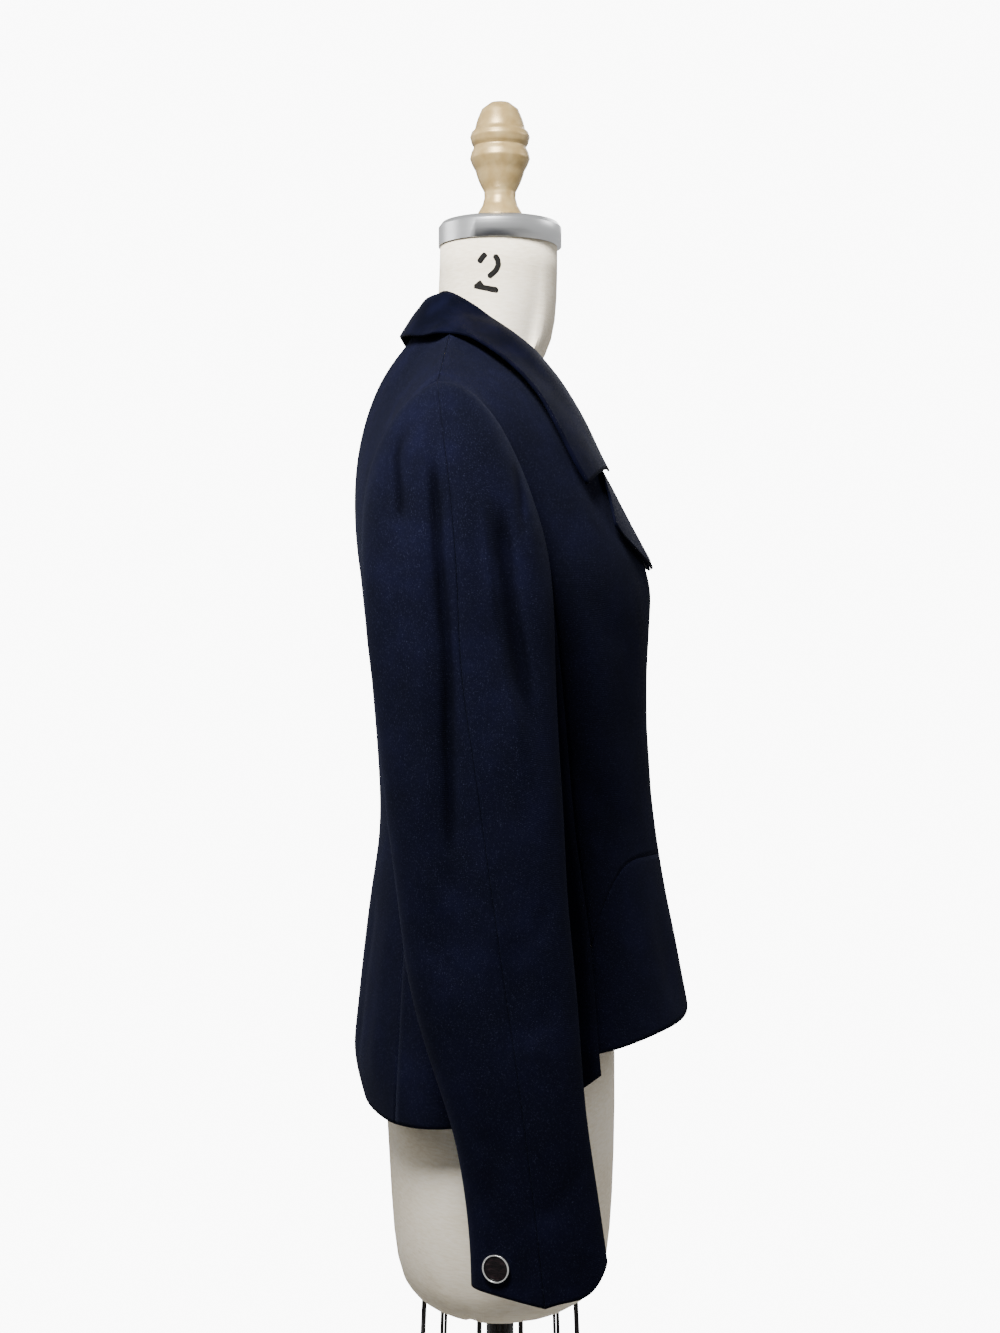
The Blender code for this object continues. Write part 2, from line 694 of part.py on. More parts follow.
def folded(grid, normals):
    """The sleeve's points with the folds of its outer side."""
    result = grid.copy()
    for row in range(2, grid.shape[0]):
        for column in range(1, 2 * OVERARM_COLUMNS):
            _, y, z = grid[row, column]
            facing = np.clip(-normals[row, column, 0] * 1.3 - 0.2, 0, 1)   # fades where the side turns away
            depth = fold_depth(y / MM, (z - BUST_Z) / MM) * facing
            result[row, column] = grid[row, column] - normals[row, column] * depth
    return result


def add_sleeves(tree, materials, collection):
    """The three pieces of each sleeve; returns the right sleeve's outer points."""
    grid = sleeve_grid()
    grid[1:] = kept_off(tree, grid[1:], SLEEVE_GAP, 0.02)
    grid = folded(grid, ring_normals(grid))
    normals = ring_normals(grid)
    cuts = {
        "sleeve_top_back": (0, OVERARM_COLUMNS),
        "sleeve_top_front": (OVERARM_COLUMNS, 2 * OVERARM_COLUMNS),
        "sleeve_under": (2 * OVERARM_COLUMNS, 2 * OVERARM_COLUMNS + UNDER_COLUMNS),
    }
    for piece, (first, last) in cuts.items():
        points = grid[:, first:last + 1]
        facing = normals[:, first:last + 1]
        add_wall(f"{piece}_right", points, facing, materials["wool"], collection)
        add_wall(f"{piece}_left", mirrored(points), mirrored(facing), materials["wool"], collection)
    return grid


def add_collar(tree, materials, collection):
    """The collar's leaf over its stand, round the neck in one piece each."""
    half = np.array(COLLAR, dtype=float)
    shares = np.linspace(0, 1, COLLAR_COLUMNS + 1)
    roll = spline([place(*row) for row in half[:, :3]], shares)
    edge = spline([place(*row) for row in half[:, 3:]], shares)
    rows = []
    for w in np.linspace(0, 1, COLLAR_ROWS + 1):
        line = roll + (edge - roll) * w
        line[:, 2] += COLLAR_SWELL * 4 * w * (1 - w)
        rows.append(line)
    leaf = np.array(rows)
    leaf = np.concatenate((mirrored(leaf)[:, :-1], leaf), axis=1)
    leaf = kept_off(tree, leaf, COLLAR_LIFT)
    facing = outward_from_neck(leaf)
    add_wall("collar", leaf, facing, materials["collar"], collection)

    used = STAND_COLUMNS + 1
    top = roll[:used].copy()
    top[:, 2] -= STAND_DROP
    top[:, :2] *= STAND_INSET
    foot_line = [place(*row) for row in BACK_NECK[::-1]] + [place(*row) for row in NECK_EDGE[-2:7:-1]]
    foot = spline(foot_line, np.linspace(0, 1, used))
    foot[:, 2] += STAND_RISE
    foot[:, :2] *= STAND_INSET
    stand = np.array([top + (foot - top) * w for w in np.linspace(0, 1, STAND_ROWS + 1)])
    stand = np.concatenate((mirrored(stand)[:, :-1], stand), axis=1)
    add_wall("collar_stand", stand, outward_from_neck(stand), materials["collar"], collection)


def outward_from_neck(grid):
    """Unit normals of a collar piece, facing away from the neck."""
    normals = normals_of(grid)
    away = grid - np.array((0, 0, BUST_Z + 0.2))
    if (normals * away).sum() < 0:
        normals = -normals
    return normals


def add_lapels(tree, materials, collection):
    """The lapels on the fronts, made from the fronts' points moved out."""
    heights = np.array([BUST_Z + row[0] * MM for row in LAPEL])
    neck = spline([place(*row) for row in NECK_EDGE], np.linspace(0, 1, 60))
    roll = np.array([[np.interp(z, neck[:, 2], neck[:, i]) for i in range(3)] for z in heights])
    edge = np.array([place(*row[1:]) for row in LAPEL])
    fine = np.linspace(0, 1, LAPEL_ROWS + 1)
    roll = spline(roll, fine)
    edge = spline(edge, fine)
    shares = np.linspace(0, 1, LAPEL_COLUMNS + 1)
    grid = np.array([[start + (end - start) * w for w in shares] for start, end in zip(roll, edge)])
    grid = laid_on(tree, grid, LAPEL_LIFT[0] + (LAPEL_LIFT[1] - LAPEL_LIFT[0]) * shares)
    facing = normals_of(grid)
    add_wall("lapel_right", grid, facing, materials["collar"], collection)
    add_wall("lapel_left", mirrored(grid), mirrored(facing), materials["collar"], collection)


def add_form(tree, materials, collection):
    """The dress form's torso and neck, kept clear of the jacket."""
    rings = []
    for height, width, front, back, widest, power in FORM:
        ring = []
        for side in range(FORM_SIDES):
            angle = 2 * math.pi * side / FORM_SIDES
            across = math.copysign(abs(math.sin(angle)) ** power, math.sin(angle))
            along = math.copysign(abs(math.cos(angle)) ** power, math.cos(angle))
            depth = front + widest if along > 0 else back - widest
            ring.append(place(-width * across, widest - depth * along, height))
        rings.append(ring)
    grid = np.array(rings)
    for _ in range(3):
        grid = kept_inside(tree, grid)
    bm = bmesh.new()
    layers = [[bm.verts.new(point) for point in ring] for ring in grid]
    for lower, upper in zip(layers, layers[1:]):
        for i in range(FORM_SIDES):
            j = (i + 1) % FORM_SIDES
            bm.faces.new((lower[i], lower[j], upper[j], upper[i]))
    bm.faces.new(layers[0][::-1])
    bm.faces.new(layers[-1])
    return add_object("form_torso", bm, materials["linen"], collection)


def kept_inside(tree, grid, reach=0.035):
    """The form's points kept inside the jacket, and against it on the shoulders."""
    result = grid.copy()
    for index in np.ndindex(grid.shape[:-1]):
        point = Vector(grid[index])
        near, normal, _, _ = tree.find_nearest(point)
        height = (point - near).dot(normal)
        seated = point.z > BUST_Z + SEAT_FROM[1] * MM and abs(point.x) > SEAT_FROM[0] * MM
        if (point - near).length > reach:
            continue
        if seated:
            result[index] = point - normal * (height + SEAT_GAP)
        elif height > -FORM_GAP:
            result[index] = point - normal * (height + FORM_GAP)
    return result


def add_turned(name, profile, material, collection, base=BUST_Z, steps=48):
    """A turned solid from a profile of radius and height in mm, top first, with a Screw modifier."""
    bm = bmesh.new()
    points = [bm.verts.new((radius * MM, 0, base + height * MM)) for radius, height in profile]
    for first, second in zip(points, points[1:]):
        bm.edges.new((first, second))
    mesh = bpy.data.meshes.new(name)
    bm.to_mesh(mesh)
    bm.free()
    mesh.materials.append(material)
    item = bpy.data.objects.new(name, mesh)
    collection.objects.link(item)
    screw = item.modifiers.new("turned", "SCREW")
    screw.axis = "Z"
    screw.steps = steps
    screw.render_steps = steps
    screw.use_merge_vertices = True
    screw.merge_threshold = 0.00001
    screw.use_smooth_shade = True
    return item


def add_rod(name, start, end, radius, sides, material, collection):
    """A straight round rod between two points."""
    start = Vector(start)
    end = Vector(end)
    bm = bmesh.new()
    bmesh.ops.create_cone(
        bm, cap_ends=True, segments=sides, radius1=radius, radius2=radius, depth=(end - start).length,
    )
    turn = (end - start).to_track_quat("Z", "Y").to_matrix().to_4x4()
    bmesh.ops.transform(bm, matrix=Matrix.Translation((start + end) / 2) @ turn, verts=bm.verts)
    return add_object(name, bm, material, collection)


def add_hoop(name, height, size, material, collection):
    """A flat oval hoop of wire round the pole."""
    bpy.ops.mesh.primitive_torus_add(
        major_segments=40, minor_segments=8, major_radius=1.0, minor_radius=0.5,
    )
    item = bpy.context.object
    item.name = name
    item.data.name = name
    for vertex in item.data.vertices:
        angle = math.atan2(vertex.co.y, vertex.co.x)
        tube = (math.hypot(vertex.co.x, vertex.co.y) - 1.0) * 2
        vertex.co.x = (size[0] * MM + tube * HOOP_RADIUS) * math.cos(angle)
        vertex.co.y = (size[1] * MM + tube * HOOP_RADIUS) * math.sin(angle)
        vertex.co.z = BUST_Z + height * MM + vertex.co.z * 2 * HOOP_RADIUS
    item.data.materials.append(material)
    item.data.shade_smooth()
    for other in item.users_collection:
        other.objects.unlink(item)
    collection.objects.link(item)
    return item


def add_stand(materials, collection):
    """Cap, finial, pole, weighted base and the wire cage under the form."""
    add_turned("neck_cap", CAP_PROFILE, materials["aluminium"], collection)
    add_turned("finial", FINIAL_PROFILE, materials["bronze"], collection)
    add_turned("base", BASE_PROFILE, materials["black"], collection, base=0.0, steps=64)
    foot = (0, 0, POLE_FOOT)
    add_rod("pole", foot, (0, 0, FORM_FOOT - REST_GAP), POLE_RADIUS, 32, materials["black"], collection)
    lower = tuple(value * CAGE_FLARE for value in CAGE)
    add_hoop("cage_hoop_lower", HOOP_HEIGHT, lower, materials["black"], collection)
    for wire in range(CAGE_WIRES):
        angle = 2 * math.pi * (wire + 0.5) / CAGE_WIRES
        top = (CAGE[0] * MM * math.cos(angle), CAGE[1] * MM * math.sin(angle), FORM_FOOT - REST_GAP)
        foot_z = BUST_Z + HOOP_HEIGHT * MM + HOOP_RADIUS + REST_GAP
        foot = (lower[0] * MM * math.cos(angle), lower[1] * MM * math.sin(angle), foot_z)
        add_rod(f"cage_wire_{wire + 1:02d}", foot, top, WIRE_RADIUS, 8, materials["black"], collection)
    share = (FORM_FOOT - BUST_Z - MIDDLE_HOOP * MM) / (FORM_FOOT - BUST_Z - HOOP_HEIGHT * MM)
    inset = (WIRE_RADIUS + HOOP_RADIUS + 1.5 * REST_GAP) / MM
    middle = tuple(value * (1 + (CAGE_FLARE - 1) * share) - inset for value in CAGE)
    add_hoop("cage_hoop_middle", MIDDLE_HOOP, middle, materials["black"], collection)


def add_buttons(grid, materials, collection):
    """The cuff button on each sleeve: a metal rim round a dark disc."""
    beside = place(-1000, *BUTTON_PLACE)
    centre, out, _, _ = surface_tree([grid]).ray_cast(Vector(beside), Vector((1, 0, 0)))
    radius = BUTTON_RADIUS / MM
    inside = radius - BUTTON_RIM / MM
    height = BUTTON_HEIGHT / MM
    rim = [
        (inside, height * 0.85), (inside + 0.35, height), (radius - 0.35, height),
        (radius, height * 0.8), (radius - 0.3, 0.4), (inside, 0.2), (inside, height * 0.85),
    ]
    disc = [
        (0, height * 0.72), (inside - 1.2, height * 0.7), (inside - 0.3, height * 0.55), (inside - 0.3, 0.2),
        (0, 0.2),
    ]
    for name, sign in (("right", 1), ("left", -1)):
        spot = Vector((sign * centre.x, centre.y, centre.z))
        axis = Vector((sign * out.x, out.y, out.z))
        turn = axis.to_track_quat("Z", "Y")
        for part, profile, material in (("rim", rim, "rim"), ("disc", disc, "button")):
            item = add_turned(f"cuff_button_{part}_{name}", profile, materials[material], collection, 0.0, 32)
            item.rotation_mode = "QUATERNION"
            item.rotation_quaternion = turn
            item.location = spot + axis * BUTTON_LIFT


def main():
    """Build the blazer and its dress form."""
    clear_scene()
    collection = bpy.data.collections.new("blazer_on_dress_form")
    bpy.context.scene.collection.children.link(collection)
    materials = {
        "wool": finish(*WOOL),
        "collar": finish(*COLLAR_CLOTH),
        "linen": finish(*LINEN),
        "aluminium": finish(*ALUMINIUM),
        "bronze": finish(*BRONZE_PAINT),
        "black": finish(*BLACK_PAINT),
        "rim": finish(*RIM_METAL),
        "button": finish(*BUTTON_DARK),
    }
    tree = surface_tree(add_body(materials, collection))
    sleeve = add_sleeves(tree, materials, collection)
    add_collar(tree, materials, collection)
    add_lapels(tree, materials, collection)
    add_buttons(sleeve, materials, collection)
    add_form(tree, materials, collection)
    add_stand(materials, collection)


main()
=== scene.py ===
import json
import math

import bmesh
import bpy
import numpy as np
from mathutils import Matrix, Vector
from mathutils.bvhtree import BVHTree


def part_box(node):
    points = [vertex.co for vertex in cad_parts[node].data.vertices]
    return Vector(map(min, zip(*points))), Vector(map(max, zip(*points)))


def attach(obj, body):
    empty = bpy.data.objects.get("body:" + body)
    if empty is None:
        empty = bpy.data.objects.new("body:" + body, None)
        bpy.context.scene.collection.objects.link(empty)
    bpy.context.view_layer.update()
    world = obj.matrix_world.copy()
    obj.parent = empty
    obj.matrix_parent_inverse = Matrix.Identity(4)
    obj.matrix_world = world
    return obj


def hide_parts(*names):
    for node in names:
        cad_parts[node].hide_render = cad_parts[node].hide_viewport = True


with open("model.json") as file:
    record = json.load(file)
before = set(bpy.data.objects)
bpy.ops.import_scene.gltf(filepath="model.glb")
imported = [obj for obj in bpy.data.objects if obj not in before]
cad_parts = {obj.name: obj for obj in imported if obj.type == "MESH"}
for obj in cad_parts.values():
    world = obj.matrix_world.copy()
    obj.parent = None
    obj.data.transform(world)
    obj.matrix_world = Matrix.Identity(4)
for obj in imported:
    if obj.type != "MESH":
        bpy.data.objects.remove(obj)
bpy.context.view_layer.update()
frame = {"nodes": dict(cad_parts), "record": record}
mm = 0.001
bustZ = 1.03           # the bust line above the floor, which the heights below are counted from
sides = {"right": -1, "left": 1}   # the wearer's right is -X


def toLinear(hexColour):
    channels = [int(hexColour[i:i + 2], 16) / 255 for i in (1, 3, 5)]
    return tuple(c / 12.92 if c <= 0.04045 else ((c + 0.055) / 1.055) ** 2.4 for c in channels) + (1.0,)


def addNode(tree, kind, settings=None, links=None):
    node = tree.nodes.new(kind)
    for name, value in (settings or {}).items():
        if name in node.inputs:
            node.inputs[name].default_value = value
        else:
            setattr(node, name, value)
    for name, source in (links or {}).items():
        tree.links.new(source, node.inputs[name])
    return node


def startMaterial(name, base, roughness, metallic=0.0):
    material = bpy.data.materials.new(name)
    material.use_nodes = True
    shader = material.node_tree.nodes["Principled BSDF"]
    shader.inputs["Base Color"].default_value = toLinear(base)
    shader.inputs["Roughness"].default_value = roughness
    shader.inputs["Metallic"].default_value = metallic
    material.diffuse_color = toLinear(base)
    return material, material.node_tree, shader


def rampStops(node, stops):
    ramp = node.color_ramp
    while len(ramp.elements) < len(stops):
        ramp.elements.new(0.5)
    for element, (place, colour) in zip(ramp.elements, stops):
        element.position = place
        element.color = toLinear(colour)


def objectPoint(tree):
    return addNode(tree, "ShaderNodeTexCoord").outputs["Object"]


def addNoise(tree, point, scale, detail, more=None):
    settings = {"Scale": scale, "Detail": detail, **(more or {})}
    return addNode(tree, "ShaderNodeTexNoise", settings, {"Vector": point}).outputs["Fac"]


def stretch(tree, point, scale):
    return addNode(tree, "ShaderNodeMapping", {"Scale": scale}, {"Vector": point}).outputs[0]


def addTint(tree, value, stops):
    ramp = addNode(tree, "ShaderNodeValToRGB", None, {"Fac": value})
    rampStops(ramp, stops)
    return ramp.outputs["Color"]


def addRange(tree, value, source, target):
    node = addNode(tree, "ShaderNodeMapRange", None, {"Value": value})
    for name, number in zip(("From Min", "From Max", "To Min", "To Max"), source + target):
        node.inputs[name].default_value = number
    return node.outputs["Result"]


def addBump(tree, shader, height, strength, distance):
    bump = addNode(tree, "ShaderNodeBump", {"Strength": strength, "Distance": distance}, {"Height": height})
    tree.links.new(bump.outputs["Normal"], shader.inputs["Normal"])


def deselectAll():
    if bpy.context.object and bpy.context.object.mode != "OBJECT":
        bpy.ops.object.mode_set(mode="OBJECT")
    bpy.ops.object.select_all(action="DESELECT")


def makeActive(piece):
    deselectAll()
    piece.select_set(True)
    bpy.context.view_layer.objects.active = piece


def setFinish(piece, material):
    piece.data.materials.clear()
    piece.data.materials.append(material)


def shadeSmooth(piece, hardAngle):
    piece.data.shade_smooth()
    piece.data.set_sharp_from_angle(angle=math.radians(hardAngle))


# Camera, lights and floor

cameraSet = {
    "distance": 1.75,      # from the dress form's middle plane, on the wearer's right
    "eyeZ": bustZ,
    "seenHeight": 1.0535,  # how much of the middle plane the photo's height covers
    "sensorMm": 36,
}
lightSet = {
    "key": {"power": 19, "size": 0.5, "place": (-1.0, 0.34, 2.05), "aim": (-0.15, 0.0, 1.32), "spread": 84},
    "front": {"power": 13, "size": 0.9, "place": (0.3, -1.8, 1.9), "aim": (0.0, -0.05, 1.15)},
    "left": {"power": 13, "size": 0.9, "place": (1.6, -0.4, 2.0), "aim": (0.15, 0.0, 1.1)},
    "back": {"power": 12, "size": 1.0, "place": (0.5, 1.8, 1.9), "aim": (0.0, 0.0, 1.1)},
}
backdropSet = {
    "seen": 10.0,          # how bright the room is to the camera
    "mirrored": 0.75,      # the same in reflections
    "lit": 0.13,           # and as light on everything
}
floorSet = {"width": 3.2, "height": -0.001, "colour": "#e9e8e6", "roughness": 0.6}


def addCamera():
    camera = bpy.data.objects.new("photoCamera", bpy.data.cameras.new("photoCamera"))
    bpy.context.collection.objects.link(camera)
    camera.location = (-cameraSet["distance"], 0, cameraSet["eyeZ"])
    camera.rotation_euler = (math.radians(90), 0, math.radians(-90))
    camera.data.sensor_fit = "VERTICAL"
    camera.data.sensor_height = cameraSet["sensorMm"]
    camera.data.lens = cameraSet["sensorMm"] * cameraSet["distance"] / cameraSet["seenHeight"]
    bpy.context.scene.camera = camera


def addAreaLight(name, place, aim, size, power, spread=180):
    light = bpy.data.objects.new(name, bpy.data.lights.new(name, "AREA"))
    bpy.context.collection.objects.link(light)
    light.data.size = size
    light.data.energy = power
    light.data.spread = math.radians(spread)
    light.location = place
    light.rotation_euler = (Vector(aim) - Vector(place)).to_track_quat("-Z", "Y").to_euler()


def addStage():
    world = bpy.data.worlds.new("paleRoom")
    bpy.context.scene.world = world
    world.use_nodes = True
    tree = world.node_tree
    background = tree.nodes["Background"]
    paths = addNode(tree, "ShaderNodeLightPath").outputs
    strength = addNode(tree, "ShaderNodeMix", {"data_type": "FLOAT"}, {"Factor": paths["Is Camera Ray"]})
    mirrored = addNode(tree, "ShaderNodeMix", {"data_type": "FLOAT"}, {"Factor": paths["Is Glossy Ray"]})
    mirrored.inputs[2].default_value = backdropSet["lit"]
    mirrored.inputs[3].default_value = backdropSet["mirrored"]
    tree.links.new(mirrored.outputs[0], strength.inputs[2])
    strength.inputs[3].default_value = backdropSet["seen"]
    tree.links.new(strength.outputs[0], background.inputs["Strength"])
    background.inputs["Color"].default_value = (1.0, 1.0, 1.0, 1.0)
    deselectAll()
    bpy.ops.mesh.primitive_plane_add(size=floorSet["width"], location=(0, 0, floorSet["height"]))
    floor = bpy.context.object
    floor.name = "paleFloor"
    material, _, _ = startMaterial("paleFloorPaint", floorSet["colour"], floorSet["roughness"])
    floor.data.materials.append(material)


addCamera()
addStage()
for lightName, light in lightSet.items():
    addAreaLight(lightName + "Light", **light)
print("camera, light and floor are set")


# Materials, one function each

woolSet = {
    "base": "#090a16", "lighter": "#0b0c1b", "darker": "#080913", "fleck": "#373a50",
    "fleckFrom": (0.60, 0.74), "fleckShare": 0.4,   # the grain that becomes a fleck, and how strong it gets
    "threadMm": 1.1,       # real yarns are 0.3 mm apart, too fine to show, so drawn coarser
    "threadShade": (0.9, 1.1), "mottleMm": 40.0, "bump": 0.25,
    "paintedFoldDark": 0.55,      # painted shade: how much darker the colour is made in the bottom of a fold
    "sheen": 0.022, "sheenTint": "#9aa1c8",
}
collarSet = {
    "base": "#04050e", "lighter": "#070816", "threadMm": 0.9, "bump": 0.1,
    "sheen": 0.02, "sheenTint": "#8e95bb",
}
linenSet = {
    "base": "#eadfc9", "lighter": "#f2e9d8", "darker": "#dccfb5", "threadMm": 1.2, "bump": 0.25,
}
# Diagonal ridges by direction and strength, and the fuzz on them
twillSet = {
    "ridges": (((1.0, 1.0, 1.15), 1.0), ((1.0, 1.0, -1.9), 0.45)), "slant": 0.7,
    "heights": (-1.4, 1.4), "fuzzScale": 900.0, "fuzz": 3.0, "depth": 0.00012,
}


def twillBump(tree, point, threadMm, strength, shader):
    # diagonal ridges that run over every side of the garment, crossed by fainter ones
    scale = 2 * math.pi / (threadMm * mm) * twillSet["slant"]
    heights = []
    for direction, share in twillSet["ridges"]:
        along = addNode(tree, "ShaderNodeVectorMath", {"operation": "DOT_PRODUCT"}, {0: point})
        along.inputs[1].default_value = tuple(v * scale for v in direction)
        wave = addNode(tree, "ShaderNodeMath", {"operation": "SINE"}, {0: along.outputs["Value"]})
        scaled = addNode(tree, "ShaderNodeMath", {"operation": "MULTIPLY"}, {0: wave.outputs[0]})
        scaled.inputs[1].default_value = share
        heights.append(scaled.outputs[0])
    both = addNode(tree, "ShaderNodeMath", {"operation": "ADD"}, {0: heights[0], 1: heights[1]}).outputs[0]
    fuzz = addNoise(tree, point, twillSet["fuzzScale"], 3.0)
    rough = addNode(tree, "ShaderNodeMath", {"operation": "MULTIPLY_ADD"}, {0: fuzz, 2: both})
    rough.inputs[1].default_value = twillSet["fuzz"]
    addBump(tree, shader, rough.outputs[0], strength, twillSet["depth"])
    return both


def addSheen(shader, weight, roughness, tint):
    # a faint bloom on the nap, and next to no mirror shine
    shader.inputs["Specular IOR Level"].default_value = 0.01
    shader.inputs["Sheen Weight"].default_value = weight
    shader.inputs["Sheen Roughness"].default_value = roughness
    shader.inputs["Sheen Tint"].default_value = toLinear(tint)


def scaleColour(tree, colour, factor):
    scaled = addNode(tree, "ShaderNodeVectorMath", {"operation": "SCALE"}, {0: colour, "Scale": factor})
    return scaled.outputs[0]


def wornWool():
    # worsted wool, woven in a fine twill and pressed: matt, with a short nap that catches light
    material, tree, shader = startMaterial("worstedWool", woolSet["base"], 0.88)
    point = objectPoint(tree)
    mottle = addNoise(tree, point, 1000 / woolSet["mottleMm"], 5.0, {"Roughness": 0.65})
    stops = [(0.36, woolSet["darker"]), (0.5, woolSet["base"]), (0.66, woolSet["lighter"])]
    tint = addTint(tree, mottle, stops)
    threads = twillBump(tree, point, woolSet["threadMm"], woolSet["bump"], shader)
    grain = addNoise(tree, point, 1400.0, 2.0)
    flecks = addRange(tree, grain, woolSet["fleckFrom"], (0.0, woolSet["fleckShare"]))
    mixed = addNode(tree, "ShaderNodeMix", {"data_type": "RGBA"}, {"Factor": flecks, 6: tint})
    mixed.inputs[7].default_value = toLinear(woolSet["fleck"])
    woven = addRange(tree, threads, twillSet["heights"], woolSet["threadShade"])
    cloth = scaleColour(tree, mixed.outputs[2], woven)
    # painted shade: the colour is darkened where the folds are deep, standing in for the shade in their
    # troughs
    paintedShadeNode = addNode(tree, "ShaderNodeAttribute", {"attribute_name": "foldPaintedShade"})
    kept = addNode(tree, "ShaderNodeMath", {"operation": "MULTIPLY_ADD"}, {0: paintedShadeNode.outputs["Fac"]})
    kept.inputs[1].default_value = -woolSet["paintedFoldDark"]
    kept.inputs[2].default_value = 1.0
    tree.links.new(scaleColour(tree, cloth, kept.outputs[0]), shader.inputs["Base Color"])
    addSheen(shader, woolSet["sheen"], 0.5, woolSet["sheenTint"])
    return material


def collarCloth():
    # the collar's smoother, darker facing: a close satin weave with a soft shine
    material, tree, shader = startMaterial("satinFacing", collarSet["base"], 0.62)
    point = objectPoint(tree)
    mottle = addNoise(tree, point, 60.0, 4.0)
    tint = addTint(tree, mottle, [(0.38, collarSet["base"]), (0.68, collarSet["lighter"])])
    tree.links.new(tint, shader.inputs["Base Color"])
    twillBump(tree, point, collarSet["threadMm"], collarSet["bump"], shader)
    addSheen(shader, collarSet["sheen"], 0.4, collarSet["sheenTint"])
    return material


def formLinen():
    # unbleached linen stretched over a padded shell: matt cream with slubs
    material, tree, shader = startMaterial("unbleachedLinen", linenSet["base"], 0.85)
    point = objectPoint(tree)
    slubs = addNoise(tree, stretch(tree, point, (140.0, 140.0, 700.0)), 1.0, 4.0)
    wide = addNoise(tree, point, 14.0, 3.0)
    both = addNode(tree, "ShaderNodeMix", {"data_type": "FLOAT", "Factor": 0.5})
    tree.links.new(slubs, both.inputs[2])
    tree.links.new(wide, both.inputs[3])
    stops = [(0.34, linenSet["darker"]), (0.5, linenSet["base"]), (0.64, linenSet["lighter"])]
    tree.links.new(addTint(tree, both.outputs[0], stops), shader.inputs["Base Color"])
    twillBump(tree, point, linenSet["threadMm"], linenSet["bump"], shader)
    shader.inputs["Specular IOR Level"].default_value = 0.2
    return material


def spunAluminium():
    # aluminium spun on a lathe: fine rings that stretch its highlights
    material, tree, shader = startMaterial("spunAluminium", "#c9cacb", 0.34, 1.0)
    point = objectPoint(tree)
    lines = addNoise(tree, stretch(tree, point, (6.0, 6.0, 2600.0)), 1.0, 2.0)
    tree.links.new(addRange(tree, lines, (0.0, 1.0), (0.24, 0.46)), shader.inputs["Roughness"])
    addBump(tree, shader, lines, 0.12, 0.0001)
    return material


def bronzePaint():
    # metallic bronze paint on turned wood: soft gloss, slightly worn and uneven
    material, tree, shader = startMaterial("bronzePaint", "#ad9566", 0.38, 0.35)
    noise = addNoise(tree, objectPoint(tree), 90.0, 5.0)
    tint = addTint(tree, noise, [(0.3, "#957c4d"), (0.5, "#a2895a"), (0.7, "#ae9769")])
    tree.links.new(tint, shader.inputs["Base Color"])
    tree.links.new(addRange(tree, noise, (0.0, 1.0), (0.28, 0.5)), shader.inputs["Roughness"])
    addBump(tree, shader, noise, 0.2, 0.0003)
    return material


def blackEnamel():
    # stove enamel on steel and iron: black, with faint orange peel and dust
    material, tree, shader = startMaterial("blackEnamel", "#0b0b0c", 0.4)
    point = objectPoint(tree)
    peel = addNoise(tree, point, 420.0, 2.0)
    dust = addNoise(tree, point, 22.0, 6.0)
    tint = addTint(tree, dust, [(0.45, "#0a0a0b"), (0.75, "#1a1a1c")])
    tree.links.new(tint, shader.inputs["Base Color"])
    addBump(tree, shader, peel, 0.15, 0.0002)
    shader.inputs["Specular IOR Level"].default_value = 0.25
    return material


def stencilPaint():
    # thin black stencil paint on cloth: matt, a little grey where it is thin
    material, tree, shader = startMaterial("stencilPaint", "#0b0a08", 0.85)
    noise = addNoise(tree, objectPoint(tree), 700.0, 3.0)
    tint = addTint(tree, noise, [(0.45, "#090807"), (0.8, "#1a1815")])
    tree.links.new(tint, shader.inputs["Base Color"])
    shader.inputs["Specular IOR Level"].default_value = 0.15
    return material


def platedRim():
    # nickel-plated brass, polished: bright with light scratches
    material, tree, shader = startMaterial("nickelPlate", "#d8d8d6", 0.2, 1.0)
    scratch = addNoise(tree, objectPoint(tree), 800.0, 3.0)
    tree.links.new(addRange(tree, scratch, (0.0, 1.0), (0.12, 0.32)), shader.inputs["Roughness"])
    return material


def hornDisc():
    # dark polished horn: nearly black with faint brown streaks
    material, tree, shader = startMaterial("polishedHorn", "#0e0b0d", 0.26)
    streak = stretch(tree, objectPoint(tree), (200.0, 160.0, 700.0))
    noise = addNoise(tree, streak, 1.0, 5.0, {"Distortion": 1.2})
    tint = addTint(tree, noise, [(0.4, "#0b090b"), (0.62, "#1d1517"), (0.75, "#33262a")])
    tree.links.new(tint, shader.inputs["Base Color"])
    shader.inputs["Specular IOR Level"].default_value = 0.12
    return material


finishes = {
    "navy_wool": wornWool(),
    "collar_cloth": collarCloth(),
    "form_linen": formLinen(),
    "spun_aluminium": spunAluminium(),
    "bronze_paint": bronzePaint(),
    "black_paint": blackEnamel(),
    "silver_rim": platedRim(),
    "button_disc": hornDisc(),
    "stencilPaint": stencilPaint(),
}
nodeSlots = {entry["node"]: entry["material_slot"] for entry in frame["record"]["subparts"]}
for nodeName, node in frame["nodes"].items():
    node.data.materials.clear()
    node.data.materials.append(finishes[nodeSlots[nodeName]])
print("materials are made")


# Cloth: where the folds lie, then the panels

